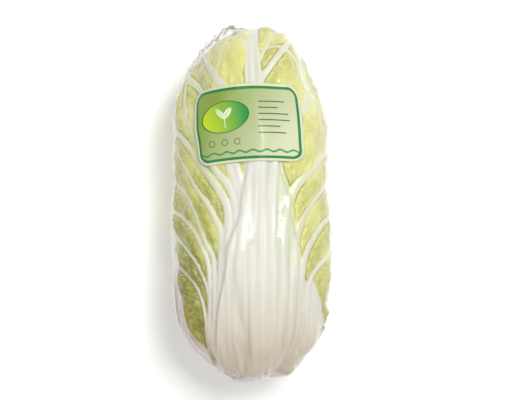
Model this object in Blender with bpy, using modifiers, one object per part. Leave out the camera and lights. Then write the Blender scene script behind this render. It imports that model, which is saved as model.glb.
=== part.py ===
"""A head of napa cabbage lying down, wrapped in clear film, with a paper label on top.

The head's long axis is Y: cut stem at -Y, crown at +Y. The side with the label faces +Z, and X runs across.
A place on the head is an angle about the axis, 0 at +Z and turning towards +X, with a distance along the
side profile from the middle of the cut end. A height is how far out from the profile a point stands.
"""

import math

import bmesh
import bpy
import numpy as np
from mathutils import Vector, kdtree

MM = 0.001
JOINED = 0.001 * MM

# The head of leaves: side profile as (distance along the axis from mid-length, half-width), stem to crown
PROFILE = np.array([
    (-149.5, 0), (-149, 14), (-143, 29), (-130, 42), (-112, 54), (-85, 60.5), (-48, 62.5), (26, 61),
    (66, 61), (87, 56.5), (111, 47.5), (126, 38.5), (139, 23), (144.5, 9), (145, 0),
]) * MM
DEPTH_SHARE = 0.92
ROUNDNESS = 2.4
FLATTER_BELOW = 0.2
SPINE_END = 92 * MM

# Leaves, outermost first. Each sprouts a golden angle on from the last: name, veins on each side, rows of
# points from base to edge, how far its tip folds past the crown, and its size against the front leaf's
GOLDEN_ANGLE = math.radians(137.5)
LEAVES = [
    ("front_leaf", 6, 16, 26 * MM, 1.0),
    ("back_right_leaf", 4, 13, -4 * MM, 0.98),
    ("left_leaf", 4, 13, -8 * MM, 0.97),
    ("right_leaf", 3, 12, -16 * MM, 0.92),
    ("back_leaf", 3, 12, -14 * MM, 0.92),
    ("inner_left_leaf", 3, 12, -26 * MM, 0.86),
    ("inner_right_leaf", 3, 12, -30 * MM, 0.8),
]
BASE_STATION = 20 * MM
BASE_STEP = 4.5 * MM
CLOSER_AT_ENDS = 0.45
TIP_MARGIN = 5 * MM
FOLD_FADE = 150 * MM

# Half-width of the front leaf as (station along it, degrees about the head), and of its white stalk in mm
OUTLINE = [(17, 88), (30, 78), (45, 60), (60, 52), (100, 60), (130, 70), (160, 86), (205, 98), (265, 103),
           (310, 97), (345, 88), (370, 80)]
STALK = [(17, 22), (30, 37), (56, 42), (102, 48), (155, 54), (200, 52), (370, 40)]

# Side veins leave the stalk and meet the edge at these stations, lowest and highest
LEAVE_STATIONS = (50 * MM, 285 * MM)
EDGE_STATIONS = (98 * MM, 362 * MM)
EDGE_CROWDING = 0.95
LOWEST_VEIN_RISE = 0.3
VEIN_GATHERING = 0.9
VEIN_BEND = (0.10, 0.45)
NARROWEST_HEAD = 8 * MM

# Thicknesses, and how the blade swells between veins and waves at the leaf's rim
BLADE = 0.9 * MM
STALK_THICKNESS = [(20, 3.6), (45, 6.2), (75, 7.2), (120, 6.4), (200, 4.6), (290, 3.0), (370, 1.8)]
GROOVE = 1.5 * MM
VEIN_END = 0.5 * MM
VEIN_TAPER = 1.5
VEIN_FOOT = 2.9 * MM
WIDEST_FOOT = 0.36
BLADE_PUFF = 1.3 * MM
EDGE_WAVE = 1.6 * MM
WAVE_TURN = 2.4
WAVED_FROM = 0.7
STALK_SPACING = 8 * MM
BLADE_SPACING = 17 * MM

# How leaves are laid: the gap between one and the next, and how finely the cells of a leaf are looked at
GAP = 0.7 * MM
NEARBY = 4.5 * MM
CELL_PARTS = 5
FITTING_ROUNDS, CLEARING_ROUNDS = 3, 4
SETTLING_GIVE, SETTLING_STEP = 0.1 * MM, 4 * MM

HEART_DEPTH, HEART_CROWN_DEPTH = 24 * MM, 32 * MM
HEART_SEGMENTS, HEART_RINGS = 24, 12
HEART_FROM = 62 * MM
HEART_ABOVE_STEM = 8 * MM
HEART_FITTINGS = 3

# The stem inside the leaves, as (distance along the axis from mid-length, radius), cut end to growing tip
STEM_PROFILE = np.array([(-141, 12), (-140, 13.5), (-130, 14.5), (-115, 16), (-103, 14), (-96, 7)]) * MM
STEM_SIDES = 28
STEM_LOOK_ANGLES, STEM_LOOK_STATIONS, STEM_LOOK_DEPTHS = 48, 20, 240
STEM_LOOK_DEPTH = 60 * MM

FILM_THICKNESS = 0.6 * MM
FILM_SEGMENTS, FILM_RINGS = 30, 21
FILM_MOUTH = 5 * MM
FILM_FLATTENED = 3.5 * MM
TAIL_PLACE, TAIL_HEIGHT, TAIL_SPREAD = (math.radians(-68), 322 * MM), 8.5 * MM, 24 * MM

LABEL_SIZE = (93 * MM, 64 * MM)
LABEL_CORNER = 11 * MM
LABEL_CENTRE = (math.radians(-1.5), 254 * MM)
LABEL_TILT = math.radians(2.9)
LABEL_DROOP = 1.5
LABEL_THICKNESS = 0.6 * MM
LABEL_CELLS = (12, 8)


def smoothstep(x):
    x = np.clip(x, 0, 1)
    return x * x * (3 - 2 * x)


def smooth_line(points, count=400):
    """Points along a smooth curve through the given ones, and their distance along it. It starts and ends
    square to the axis, so a profile closes without a point."""
    knots = np.concatenate([[0], np.cumsum(np.linalg.norm(np.diff(points, axis=0), axis=1))])
    slopes = np.gradient(points, knots, axis=0)
    slopes[0], slopes[-1] = (0, 1), (0, -1)
    at = np.linspace(0, knots[-1], count)
    cell = np.clip(np.searchsorted(knots, at) - 1, 0, len(knots) - 2)
    span = (knots[cell + 1] - knots[cell])[:, None]
    t = (at - knots[cell])[:, None] / span
    line = ((2 * t**3 - 3 * t**2 + 1) * points[cell] + (t**3 - 2 * t**2 + t) * span * slopes[cell]
            + (3 * t**2 - 2 * t**3) * points[cell + 1] + (t**3 - t**2) * span * slopes[cell + 1])
    steps = np.linalg.norm(np.diff(line, axis=0), axis=1)
    return line, np.concatenate([[0], np.cumsum(steps)])


SIDE_LINE, STATIONS = smooth_line(PROFILE)
ARC = STATIONS[-1]


def radius_at(station):
    return np.interp(station, STATIONS, SIDE_LINE[:, 1])


def from_table(table, station):
    """A size given in mm at a few stations in mm, read smoothly between them."""
    stations, sizes = np.array(table, float).T
    cell = np.clip(np.searchsorted(stations, station / MM) - 1, 0, len(stations) - 2)
    share = (station / MM - stations[cell]) / (stations[cell + 1] - stations[cell])
    return sizes[cell] + (sizes[cell + 1] - sizes[cell]) * smoothstep(share)


def fan(along, radius):
    """How far along the head a line out from the spine points: its own distance, and past the spine's end
    the turn from square to the axis is added."""
    past = along - np.clip(along, -SPINE_END, SPINE_END)
    return along - past + np.sign(past) * (math.pi / 2 - np.arctan2(radius, np.abs(past))) * SPINE_END


FAN = fan(*SIDE_LINE.T)


def section(angle):
    """The half-width of the head's cross-section in this direction, where its greatest is 1."""
    x, z = np.sin(angle), np.cos(angle)
    power = ROUNDNESS - FLATTER_BELOW * z
    return (np.abs(x)**power + np.abs(z / DEPTH_SHARE)**power)**(-1 / power)


def on_head(angle, station, height):
    """The points at these places and heights, as an array whose last axis is X, Y, Z. A height runs straight
    out from a spine inside the head, so surfaces at different heights never cross."""
    y, radius = (np.interp(station, STATIONS, SIDE_LINE[:, k]) for k in (0, 1))
    radius = radius * section(angle)
    spine = np.clip(y, -SPINE_END, SPINE_END)
    share = 1 + height / np.hypot(radius, y - spine)
    return np.stack([radius * share * np.sin(angle), spine + (y - spine) * share,
                     radius * share * np.cos(angle)], axis=-1)


def place_of(points):
    """The angle, station and height of each of these points."""
    x, along, z = np.moveaxis(points, -1, 0)
    angle, radius = np.arctan2(x, z), np.hypot(x, z)
    station = np.interp(fan(along, radius / section(angle)), FAN, STATIONS)
    spine = np.clip(along, -SPINE_END, SPINE_END)
    y, side = (np.interp(station, STATIONS, SIDE_LINE[:, k]) for k in (0, 1))
    return angle, station, np.hypot(radius, along - spine) - np.hypot(side * section(angle), y - spine)


def on_plan(angle, station):
    """Places seen from the crown, which is the middle of this flat plan, as an array of across and along."""
    return np.stack([(ARC - station) * np.sin(angle), (ARC - station) * np.cos(angle)], axis=-1)


def from_plan(plan):
    return np.arctan2(plan[..., 0], plan[..., 1]), ARC - np.hypot(plan[..., 0], plan[..., 1])


def between(grid):
    """The grid with more places in each of its cells, on the two flat triangles that the cell is cut into."""
    rows, columns = grid.shape[:2]
    row, column = (np.arange((size - 1) * CELL_PARTS + 1) / CELL_PARTS for size in (rows, columns))
    low, left = np.minimum(row.astype(int), rows - 2), np.minimum(column.astype(int), columns - 2)
    up, across = np.meshgrid(row - low, column - left, indexing="ij")
    up, across = (share.reshape(share.shape + (1,) * (grid.ndim - 2)) for share in (up, across))
    a, b = grid[np.ix_(low, left)], grid[np.ix_(low, left + 1)]
    c, d = grid[np.ix_(low + 1, left)], grid[np.ix_(low + 1, left + 1)]
    return np.where(up > across, a + up * (c - a) + across * (d - c), a + across * (b - a) + up * (d - b))


def near_each(fine, outside):
    """For every place in the cells round a grid point: the point's share in it, and its value."""
    rows, columns = ((size - 1) // CELL_PARTS + 1 for size in fine.shape)
    fine = np.pad(fine, CELL_PARTS, constant_values=outside)
    for row in range(1 - CELL_PARTS, CELL_PARTS):
        for column in range(1 - CELL_PARTS, CELL_PARTS):
            share = (1 - abs(row) / CELL_PARTS) * (1 - abs(column) / CELL_PARTS)
            yield share, fine[CELL_PARTS + row::CELL_PARTS, CELL_PARTS + column::CELL_PARTS][:rows, :columns]


class Pile:
    """Every surface laid so far, as points of the head's profile with the height that is taken there."""

    def __init__(self):
        self.places = np.empty((0, 3))

    def add(self, points):
        """Adds the flat triangles through a grid of points."""
        self.places = np.vstack([self.places, np.stack(place_of(between(points)), axis=-1).reshape(-1, 3)])
        self.tree = kdtree.KDTree(len(self.places))
        for index, foot in enumerate(on_head(self.places[:, 0], self.places[:, 1], 0.0)):
            self.tree.insert(foot, index)
        self.tree.balance()

    def highest(self, angle, station):
        """The greatest height taken close to each place."""
        heights = self.places[:, 2]
        found = []
        for foot in on_head(angle, station, 0.0).reshape(-1, 3):
            hits = self.tree.find_range(foot, NEARBY) + self.tree.find_n(foot, 3)
            found.append(max(heights[hit[1]] for hit in hits))
        return np.array(found).reshape(angle.shape)

    def lowest_z(self):
        return on_head(*self.places.T)[:, 2].min()


class Cover:
    """A grid of points laid over a pile, whose flat cells are to clear everything in it by the gap."""

    def __init__(self, pile, angle, station, closed):
        self.angle, self.station, self.closed = angle, station, closed
        fine = from_plan(between(on_plan(angle, station)))
        taken = pile.highest(*fine)
        self.needed = on_head(*fine, taken + GAP)
        self.out = self.needed - on_head(*fine, taken)
        self.height = (taken + GAP)[::CELL_PARTS, ::CELL_PARTS]

    def lack(self):
        """How far each place of the cells is below the height that it needs, square to the cell."""
        flat = between(on_head(self.angle, self.station, self.height))
        square = np.cross(np.gradient(flat, axis=0), np.gradient(flat, axis=1))
        square *= np.sign(np.sum(square * self.out, axis=-1, keepdims=True))
        square /= np.maximum(np.linalg.norm(square, axis=-1, keepdims=True), 1e-12)
        return np.sum((self.needed - flat) * square, axis=-1)

    def smooth(self):
        padded = np.pad(self.height, 1, mode="edge")
        if self.closed:
            padded[:, 0], padded[:, -1] = padded[:, -3], padded[:, 2]
        mean = (padded[2:, 1:-1] + padded[:-2, 1:-1] + padded[1:-1, 2:] + padded[1:-1, :-2]) / 4
        self.height = (self.height + mean) / 2

    def move(self, change):
        self.height = self.height + change
        if self.closed:
            self.height[:, 0] = self.height[:, -1] = np.maximum(self.height[:, 0], self.height[:, -1])
            self.height[-1] = self.height[-1].max()

    def settle(self):
        """Lets every other point down in turn, until the cells round it touch."""
        for row, column in ((0, 0), (0, 1), (1, 0), (1, 1)):
            lack = self.lack() - SETTLING_GIVE
            room = np.max([near / share for share, near in near_each(lack, -1) if share > 0], axis=0)
            change = np.zeros(self.height.shape)
            change[row::2, column::2] = room[row::2, column::2].clip(-SETTLING_STEP, 0)
            self.move(change)

    def fit(self, smoothing):
        for _ in range(FITTING_ROUNDS):
            for _ in range(smoothing):
                self.smooth()
            for _ in range(CLEARING_ROUNDS):
                lack = np.maximum(self.lack(), 0)
                self.move(np.max([share * near for share, near in near_each(lack, 0)], axis=0))
            self.move(np.max([near for _, near in near_each(self.lack(), -1)], axis=0))
            self.settle()
        return self.height


def laid_on(pile, angle, station, smoothing=2, closed=False):
    return Cover(pile, angle, station, closed).fit(smoothing)


def spines(side_veins, rows, base, size):
    """Leaf edge, side veins from low to high, and midrib of one half of a leaf, each a row of points from the
    base to the edge. Gives angle from the midrib, station, and share of the way from stalk to edge."""
    outline = lambda station: np.radians(from_table(OUTLINE, station)) * size
    along = np.linspace(0, 1, rows)
    along = along - CLOSER_AT_ENDS * np.sin(math.tau * along) / math.tau
    edge_ends = np.interp(np.linspace(0, 1, side_veins)**EDGE_CROWDING, (0, 1), EDGE_STATIONS)
    station = base + (edge_ends[0] - base) * along
    found = [(outline(station), station, np.ones(rows))]
    for vein in range(side_veins):
        rise = (vein + LOWEST_VEIN_RISE) / side_veins
        leave = np.interp(rise, (0, 1), LEAVE_STATIONS)
        place = (1 - rise)**VEIN_GATHERING
        stalk = lambda station: (place * from_table(STALK, station) * MM
                                 / np.maximum(radius_at(station), NARROWEST_HEAD))
        end = edge_ends[vein]
        lateral = math.hypot(end - leave, radius_at(leave) * (outline(end) - stalk(leave)))
        split = (leave - base) / (leave - base + lateral)
        free = np.clip((along - split) / (1 - split), 0, 1)
        bend = 2 * free * (1 - free)
        bent = (1 - free)**2 * leave + bend * (leave + VEIN_BEND[1] * (end - leave)) + free**2 * end
        station = np.where(along < split, base + (leave - base) * along / split, bent)
        turned = ((1 - free)**2 * stalk(leave) + free**2 * outline(end)
                  + bend * (stalk(leave) + VEIN_BEND[0] * (outline(end) - stalk(leave))))
        found.append((np.where(along < split, stalk(station), turned), station, free))
    station = base + (ARC - TIP_MARGIN - base) * along
    found.append((np.zeros(rows), station, np.zeros(rows)))
    return found


def leaf_half(side_veins, rows, base, size):
    """Columns of points from the edge to the midrib: each vein has a crest and a foot on either side, and the
    blade between two veins has a line of its own. Gives angle, station, thickness and puff."""
    lines = spines(side_veins, rows, base, size)
    crests = []
    for index, (angle, station, free) in enumerate(lines):
        stalk = from_table(STALK_THICKNESS, station) * MM * size
        leaving = BLADE + VEIN_END + (stalk[np.argmax(free > 0)] - BLADE - VEIN_END) * (1 - free)**VEIN_TAPER
        crests.append(np.where(free > 0, leaving, stalk))
    crests[0] = np.full(rows, BLADE)
    columns = []
    for index in range(len(lines) - 1):
        (angle_a, station_a, _), (angle_b, station_b, _) = lines[index], lines[index + 1]
        apart = np.linalg.norm(on_head(angle_a, station_a, 0.0) - on_head(angle_b, station_b, 0.0), axis=-1)
        foot = np.minimum(VEIN_FOOT / np.maximum(apart, JOINED), WIDEST_FOOT)
        spread = smoothstep((apart - STALK_SPACING) / (BLADE_SPACING - STALK_SPACING))
        low = np.minimum(crests[index], crests[index + 1]) - GROOVE
        if index == 0:
            low = crests[index + 1] - GROOVE
        valley = np.maximum(low * (1 - spread) + BLADE * spread, BLADE)
        shares = [0.0, foot, 0.5 + 0 * foot, 1 - foot]
        if index == 0:
            shares = [0.0, 0.5 + 0 * foot, 1 - foot]
        for share in shares:
            on_crest = np.ndim(share) == 0
            columns.append((
                angle_a + (angle_b - angle_a) * share,
                station_a + (station_b - station_a) * share,
                crests[index] if on_crest else valley,
                BLADE_PUFF * size**4 * spread * 4 * share * (1 - share),
            ))
    angle, station, _ = lines[-1]
    columns.append((angle, station, crests[-1], np.zeros(rows)))
    return [np.array(part).T for part in zip(*columns)]


def leaf_grid(order, side_veins, rows, past_crown, size):
    """One leaf laid out on the head: angle, station, thickness and puff at each of its points."""
    base = BASE_STATION + BASE_STEP * order
    halves = leaf_half(side_veins, rows, base, size)
    spread, station, thickness, puff = (
        np.hstack([half, sign * half[:, -2::-1]]) for half, sign in zip(halves, (-1, 1, 1, 1)))
    spread = -spread
    wave = 0.5 + 0.5 * np.sin(np.arange(spread.shape[1]) * WAVE_TURN + order)
    near_rim = smoothstep((np.linspace(0, 1, rows)[:, None] - WAVED_FROM) / (1 - WAVED_FROM))
    puff = puff + EDGE_WAVE * size**4 * wave * near_rim
    from_tip = ARC - station
    past = past_crown * (1 - smoothstep(from_tip / FOLD_FADE))
    across, along = from_tip * np.sin(spread), past - from_tip * np.cos(spread)
    azimuth = order * GOLDEN_ANGLE
    return azimuth + np.arctan2(across, -along), ARC - np.hypot(across, along), thickness, puff


def stem_places():
    """The stem's side as a surface: where a line straight in from the head's profile first meets it."""
    angle, station, depth = np.meshgrid(
        np.linspace(-math.pi, math.pi, STEM_LOOK_ANGLES), np.linspace(4 * MM, HEART_FROM, STEM_LOOK_STATIONS),
        np.linspace(0, STEM_LOOK_DEPTH, STEM_LOOK_DEPTHS), indexing="ij")
    x, y, z = np.moveaxis(on_head(angle, station, -depth), -1, 0)
    inside = np.hypot(x, z) < np.interp(y, STEM_PROFILE[:, 0], STEM_PROFILE[:, 1], left=0)
    first = np.argmax(inside, axis=-1)
    height = np.where(inside.any(axis=-1), -depth[0, 0][first], -HEART_DEPTH * 2)
    return angle[..., 0], station[..., 0], height


def lay_head(heart_angle, heart_station, heart_height):
    """Lays the leaves on the stem and the heart, innermost first. Gives the two faces of each leaf as grids
    of points, and the pile that they make."""
    pile = Pile()
    pile.add(on_head(*stem_places()))
    pile.add(on_head(heart_angle, heart_station, heart_height))
    laid = {}
    for order, (name, *kind) in reversed(list(enumerate(LEAVES))):
        angle, station, thickness, puff = leaf_grid(order, *kind)
        height = laid_on(pile, angle, station) + puff
        laid[name] = [on_head(angle, station, height), on_head(angle, station, height + thickness)]
        pile.add(laid[name][1])
    return laid, pile


def finish_object(name, mesh, colour, roughness):
    obj = bpy.data.objects.new(name, mesh)
    material = bpy.data.materials.new(name)
    material.use_nodes = True
    shader = material.node_tree.nodes["Principled BSDF"]
    shader.inputs["Base Color"].default_value = (*colour, 1)
    shader.inputs["Roughness"].default_value = roughness
    shader.inputs["Metallic"].default_value = 0
    mesh.materials.append(material)
    HEAD.objects.link(obj)
    obj.parent = FRAME
    return obj


def grid_object(name, layers, colour, roughness):
    """An object through grids of points. One grid makes a sheet, joined where its edges meet, and two make a
    slab with the same triangles on both faces."""
    rows, columns = layers[0].shape[:2]
    shape = bmesh.new()
    bmesh.ops.create_grid(shape, x_segments=columns - 1, y_segments=rows - 1, size=1)
    bmesh.ops.translate(shape, vec=(1, 1, 0), verts=shape.verts)
    bmesh.ops.scale(shape, vec=((columns - 1) / 2, (rows - 1) / 2, 1), verts=shape.verts)
    bmesh.ops.triangulate(shape, faces=shape.faces, quad_method="FIXED")
    if len(layers) == 2:
        made = bmesh.ops.extrude_face_region(shape, geom=shape.faces, use_keep_orig=True)["geom"]
        outer = [piece for piece in made if isinstance(piece, bmesh.types.BMVert)]
        bmesh.ops.translate(shape, vec=(0, 0, 1), verts=outer)
        bmesh.ops.triangulate(shape, faces=shape.faces)
    for vertex in shape.verts:
        column, row, layer = (round(place) for place in vertex.co)
        vertex.co = layers[layer][row, column]
    bmesh.ops.remove_doubles(shape, verts=shape.verts, dist=JOINED)
    bmesh.ops.recalc_face_normals(shape, faces=shape.faces)
    if shape.calc_volume(signed=True) < 0:
        bmesh.ops.reverse_faces(shape, faces=shape.faces)
    mesh = bpy.data.meshes.new(name)
    shape.to_mesh(mesh)
    shape.free()
    return finish_object(name, mesh, colour, roughness)


def rounded_rectangle(size, corner, cells):
    """A grid of points that fills a rectangle with round corners."""
    across, along = np.meshgrid(np.linspace(-1, 1, cells[0] + 1), np.linspace(-1, 1, cells[1] + 1))
    half = np.array(size) / 2
    x, y = across * half[0], along * half[1]
    ring = np.maximum(np.abs(across), np.abs(along))
    edge_x, edge_y = x / np.maximum(ring, 1e-9), y / np.maximum(ring, 1e-9)
    past_x = np.maximum(np.abs(edge_x) - (half[0] - corner), 0)
    past_y = np.maximum(np.abs(edge_y) - (half[1] - corner), 0)
    past = np.maximum(np.hypot(past_x, past_y), 1e-9)
    pull = np.where((past_x > 0) & (past_y > 0), np.minimum(corner / past, 1), 1)
    round_x = np.sign(edge_x) * (np.minimum(np.abs(edge_x), half[0] - corner) + past_x * pull)
    round_y = np.sign(edge_y) * (np.minimum(np.abs(edge_y), half[1] - corner) + past_y * pull)
    return round_x * ring, round_y * ring


def heart_height_grid():
    """The heart's own grid of places, with the heights that bring the finished head to its profile."""
    angle, station = np.meshgrid(np.linspace(-math.pi, math.pi, HEART_SEGMENTS + 1),
                                 np.linspace(HEART_FROM, ARC, HEART_RINGS + 1))
    height = -HEART_DEPTH + (HEART_DEPTH - HEART_CROWN_DEPTH) * smoothstep(station / ARC * 4 - 3)
    for _ in range(HEART_FITTINGS):
        _, pile = lay_head(angle, station, height)
        excess = pile.highest(angle, station)
        around = (np.roll(excess[:, :-1], 1, axis=1) + np.roll(excess[:, :-1], -1, axis=1)) / 2
        around = np.hstack([around, around[:, :1]])
        padded = np.pad(around, ((1, 1), (0, 0)), mode="edge")
        height = height - (excess * 2 + around + (padded[2:] + padded[:-2]) / 2) / 4
        height[-1] = height[-1].mean()
    return angle, station, height


def make_leaves(laid):
    for name, faces in laid.items():
        grid_object(name, faces, (0.62, 0.70, 0.30), 0.45)


def make_heart(angle, station, height):
    """The tightly packed inner leaves, closed over the tip of the stem."""
    points = on_head(angle, station, height)
    points[0] = (0, STEM_PROFILE[-1, 0] + HEART_ABOVE_STEM, 0)
    grid_object("heart", [points], (0.80, 0.78, 0.42), 0.5)


def make_stem():
    """The stem that every leaf grows from, with its cut end bare."""
    shape = bmesh.new()
    line = [(0, STEM_PROFILE[0, 0]), *((radius, y) for y, radius in STEM_PROFILE),
            (0, STEM_PROFILE[-1, 0] + 2 * MM)]
    points = [shape.verts.new((radius, y, 0)) for radius, y in reversed(line)]
    for first, second in zip(points, points[1:]):
        shape.edges.new((first, second))
    mesh = bpy.data.meshes.new("stem")
    shape.to_mesh(mesh)
    shape.free()
    stem = finish_object("stem", mesh, (0.75, 0.68, 0.52), 0.7)
    turn = stem.modifiers.new("turn", "SCREW")
    turn.axis = "Y"
    turn.steps = turn.render_steps = STEM_SIDES
    turn.use_merge_vertices = True
    turn.merge_threshold = 0.0001
    turn.use_normal_calculate = True


def make_film(pile):
    """One sheet of film drawn round the head, open only where it is gathered under the cut stem."""
    stations = np.linspace(FILM_MOUTH, ARC, FILM_RINGS + 1)
    angle, station = np.meshgrid(np.linspace(-math.pi, math.pi, FILM_SEGMENTS + 1), stations)
    height = laid_on(pile, angle, station, smoothing=4, closed=True)
    tail = on_head(angle, station, 0.0) - on_head(TAIL_PLACE[0], TAIL_PLACE[1], 0.0)
    height = height + TAIL_HEIGHT * np.exp(-(np.linalg.norm(tail, axis=-1) / TAIL_SPREAD)**2)
    points = on_head(angle, station, height)
    rest = pile.lowest_z() - GAP
    points[points[..., 2] < rest + FILM_FLATTENED, 2] = rest
    film = grid_object("film_wrap", [points], (0.93, 0.94, 0.95), 0.1)
    film.data.materials[0].node_tree.nodes["Principled BSDF"].inputs["Alpha"].default_value = 0.25
    shell = film.modifiers.new("thickness", "SOLIDIFY")
    shell.thickness = FILM_THICKNESS
    shell.offset = 1
    pile.add(on_head(angle, station, height + FILM_THICKNESS))


def make_label(pile):
    """A paper label stuck on the film, bent round the head."""
    across, along = rounded_rectangle(LABEL_SIZE, LABEL_CORNER, LABEL_CELLS)
    turned_x = across * math.cos(LABEL_TILT) - along * math.sin(LABEL_TILT)
    turned_y = across * math.sin(LABEL_TILT) + along * math.cos(LABEL_TILT)
    station = LABEL_CENTRE[1] + turned_y - LABEL_DROOP * turned_x**2
    angle = LABEL_CENTRE[0] + turned_x / radius_at(station)
    height = laid_on(pile, angle, station)
    faces = [on_head(angle, station, height), on_head(angle, station, height + LABEL_THICKNESS)]
    grid_object("label", faces, (0.62, 0.74, 0.38), 0.4)


def stand_on_origin():
    """Moves the whole part so that the middle of its underside is at the world's origin."""
    bpy.context.view_layer.update()
    graph = bpy.context.evaluated_depsgraph_get()
    corners = np.array([obj.matrix_world @ Vector(corner) for obj in HEAD.objects if obj.type == "MESH"
                        for corner in obj.evaluated_get(graph).bound_box])
    low, high = corners.min(axis=0), corners.max(axis=0)
    FRAME.location = (-(low[0] + high[0]) / 2, -(low[1] + high[1]) / 2, -low[2])


for leftover in list(bpy.data.objects):
    bpy.data.objects.remove(leftover)
HEAD = bpy.data.collections.new("napa_cabbage")
bpy.context.scene.collection.children.link(HEAD)
FRAME = bpy.data.objects.new("napa_cabbage", None)
HEAD.objects.link(FRAME)

heart_grid = heart_height_grid()
laid_leaves, head_pile = lay_head(*heart_grid)
make_leaves(laid_leaves)
make_heart(*heart_grid)
make_stem()
make_film(head_pile)
make_label(head_pile)
stand_on_origin()
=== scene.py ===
import math

import bpy
import numpy as np
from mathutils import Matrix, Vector
from mathutils.bvhtree import BVHTree


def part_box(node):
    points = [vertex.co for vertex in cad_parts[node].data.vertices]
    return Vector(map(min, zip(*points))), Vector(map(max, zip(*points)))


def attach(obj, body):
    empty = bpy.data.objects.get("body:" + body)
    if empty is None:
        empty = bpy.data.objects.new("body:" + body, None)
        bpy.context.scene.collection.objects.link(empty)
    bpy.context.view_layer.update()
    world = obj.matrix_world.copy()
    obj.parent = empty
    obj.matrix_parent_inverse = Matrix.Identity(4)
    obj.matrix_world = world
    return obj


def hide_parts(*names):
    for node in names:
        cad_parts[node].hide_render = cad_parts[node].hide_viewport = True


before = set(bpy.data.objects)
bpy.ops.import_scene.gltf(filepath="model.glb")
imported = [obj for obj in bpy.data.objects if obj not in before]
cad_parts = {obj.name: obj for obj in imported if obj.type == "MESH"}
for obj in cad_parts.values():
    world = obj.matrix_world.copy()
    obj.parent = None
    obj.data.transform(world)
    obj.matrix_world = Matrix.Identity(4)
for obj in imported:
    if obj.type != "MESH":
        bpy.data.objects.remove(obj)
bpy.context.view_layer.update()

# The stem: the white core that every leaf grows from, cut across at the base with a knife. It is one
# turned form here, with the cut face slightly dished, and browned in patches where the flesh has dried.
MM = 0.001
STEM_CUT_TO_MIDDLE = 141 * MM
# Half of its outline from the cut face to the tip: place along the axis from mid-length, and radius, in mm
STEM_PROFILE = [(-141, 0.1), (-140.7, 5), (-140.4, 9.5), (-140.9, 12), (-139.5, 13.4), (-130, 14.4),
                (-115, 15.9), (-103, 13.9), (-96, 7), (-94.2, 0.1)]
STEM_SIDES = 96
STEM_WELD = 0.1 * MM
STEM_WHITE, STEM_BROWN = (0.72, 0.62, 0.45, 1), (0.34, 0.20, 0.10, 1)
STEM_FIBRE_SCALE, STEM_PATCH_SCALE = 900.0, 90.0

stem_low, stem_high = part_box("stem")
AXIS = np.array([(stem_low.x + stem_high.x) / 2, stem_low.y + STEM_CUT_TO_MIDDLE,
                 (stem_low.z + stem_high.z) / 2])


def feed(node, **inputs):
    """Sets a node's inputs, called by name or by number, to values or to what other nodes put out."""
    for key, value in inputs.items():
        socket = node.inputs[int(key[1:]) if key[0] == "_" else key.replace("_", " ")]
        if isinstance(value, bpy.types.NodeSocket):
            node.id_data.links.new(value, socket)
        else:
            socket.default_value = value


def node_adder(tree):
    """A function that adds a node to this tree, with its settings and inputs."""
    def add(kind, settings=None, **inputs):
        node = tree.nodes.new(kind)
        for key, value in (settings or {}).items():
            setattr(node, key, value)
        feed(node, **inputs)
        return node
    return add


def new_material(name):
    """A material, its Principled BSDF, and the function that adds nodes to it, which becomes add."""
    material = bpy.data.materials.new(name)
    material.use_nodes = True
    return material, material.node_tree.nodes["Principled BSDF"], node_adder(material.node_tree)


# These add to the tree that add belongs to at the time
def noise(place, scale, detail):
    return add("ShaderNodeTexNoise", Vector=place, Scale=scale, Detail=detail).outputs["Fac"]


def blend(share, a, b, kind="MIX"):
    return add("ShaderNodeMix", {"data_type": "RGBA", "blend_type": kind}, _0=share, _6=a, _7=b).outputs[2]


def raised_by(height, strength, distance):
    """The normal of a surface that stands up by this height."""
    return add("ShaderNodeBump", Strength=strength, Distance=distance, Height=height).outputs[0]


def placed(name, data):
    """A new object with this data, put into the scene."""
    obj = bpy.data.objects.new(name, data)
    bpy.context.scene.collection.objects.link(obj)
    return obj


def plain_copy(obj, name):
    """The object as its modifiers leave it, as a plain mesh object, which takes its place."""
    graph = bpy.context.evaluated_depsgraph_get()
    mesh = bpy.data.meshes.new_from_object(obj.evaluated_get(graph))
    bpy.data.objects.remove(obj)
    mesh.name = name
    mesh.shade_smooth()
    return placed(name, mesh)


stem_mesh = bpy.data.meshes.new("stem_profile")
stem_mesh.from_pydata([(AXIS[0] + radius * MM, AXIS[1] + y * MM, AXIS[2])
                       for y, radius in reversed(STEM_PROFILE)],
                      [(k, k + 1) for k in range(len(STEM_PROFILE) - 1)], [])
stem_turned = placed("stem_turned", stem_mesh)
stem_axis = placed("stem_axis", None)
stem_axis.location = AXIS
turn = stem_turned.modifiers.new("turn", "SCREW")
turn.axis = "Y"
turn.object = stem_axis
turn.steps = turn.render_steps = STEM_SIDES
turn.use_merge_vertices = True
turn.merge_threshold = STEM_WELD
turn.use_normal_calculate = True
bpy.context.view_layer.update()
stem = plain_copy(stem_turned, "stem_core")
bpy.data.objects.remove(stem_axis)

material, shader, add = new_material("stem")
place = add("ShaderNodeTexCoord").outputs["Object"]
dried = add("ShaderNodeMapRange", Value=noise(place, STEM_PATCH_SCALE, 4.0), From_Min=0.45, From_Max=0.7)
feed(shader, Base_Color=blend(dried.outputs[0], STEM_WHITE, STEM_BROWN), Roughness=0.6,
     Normal=raised_by(noise(place, STEM_FIBRE_SCALE, 3.0), 0.3, 0.4 * MM))
stem.data.materials.append(material)
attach(stem, "root")
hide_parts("stem")

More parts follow.
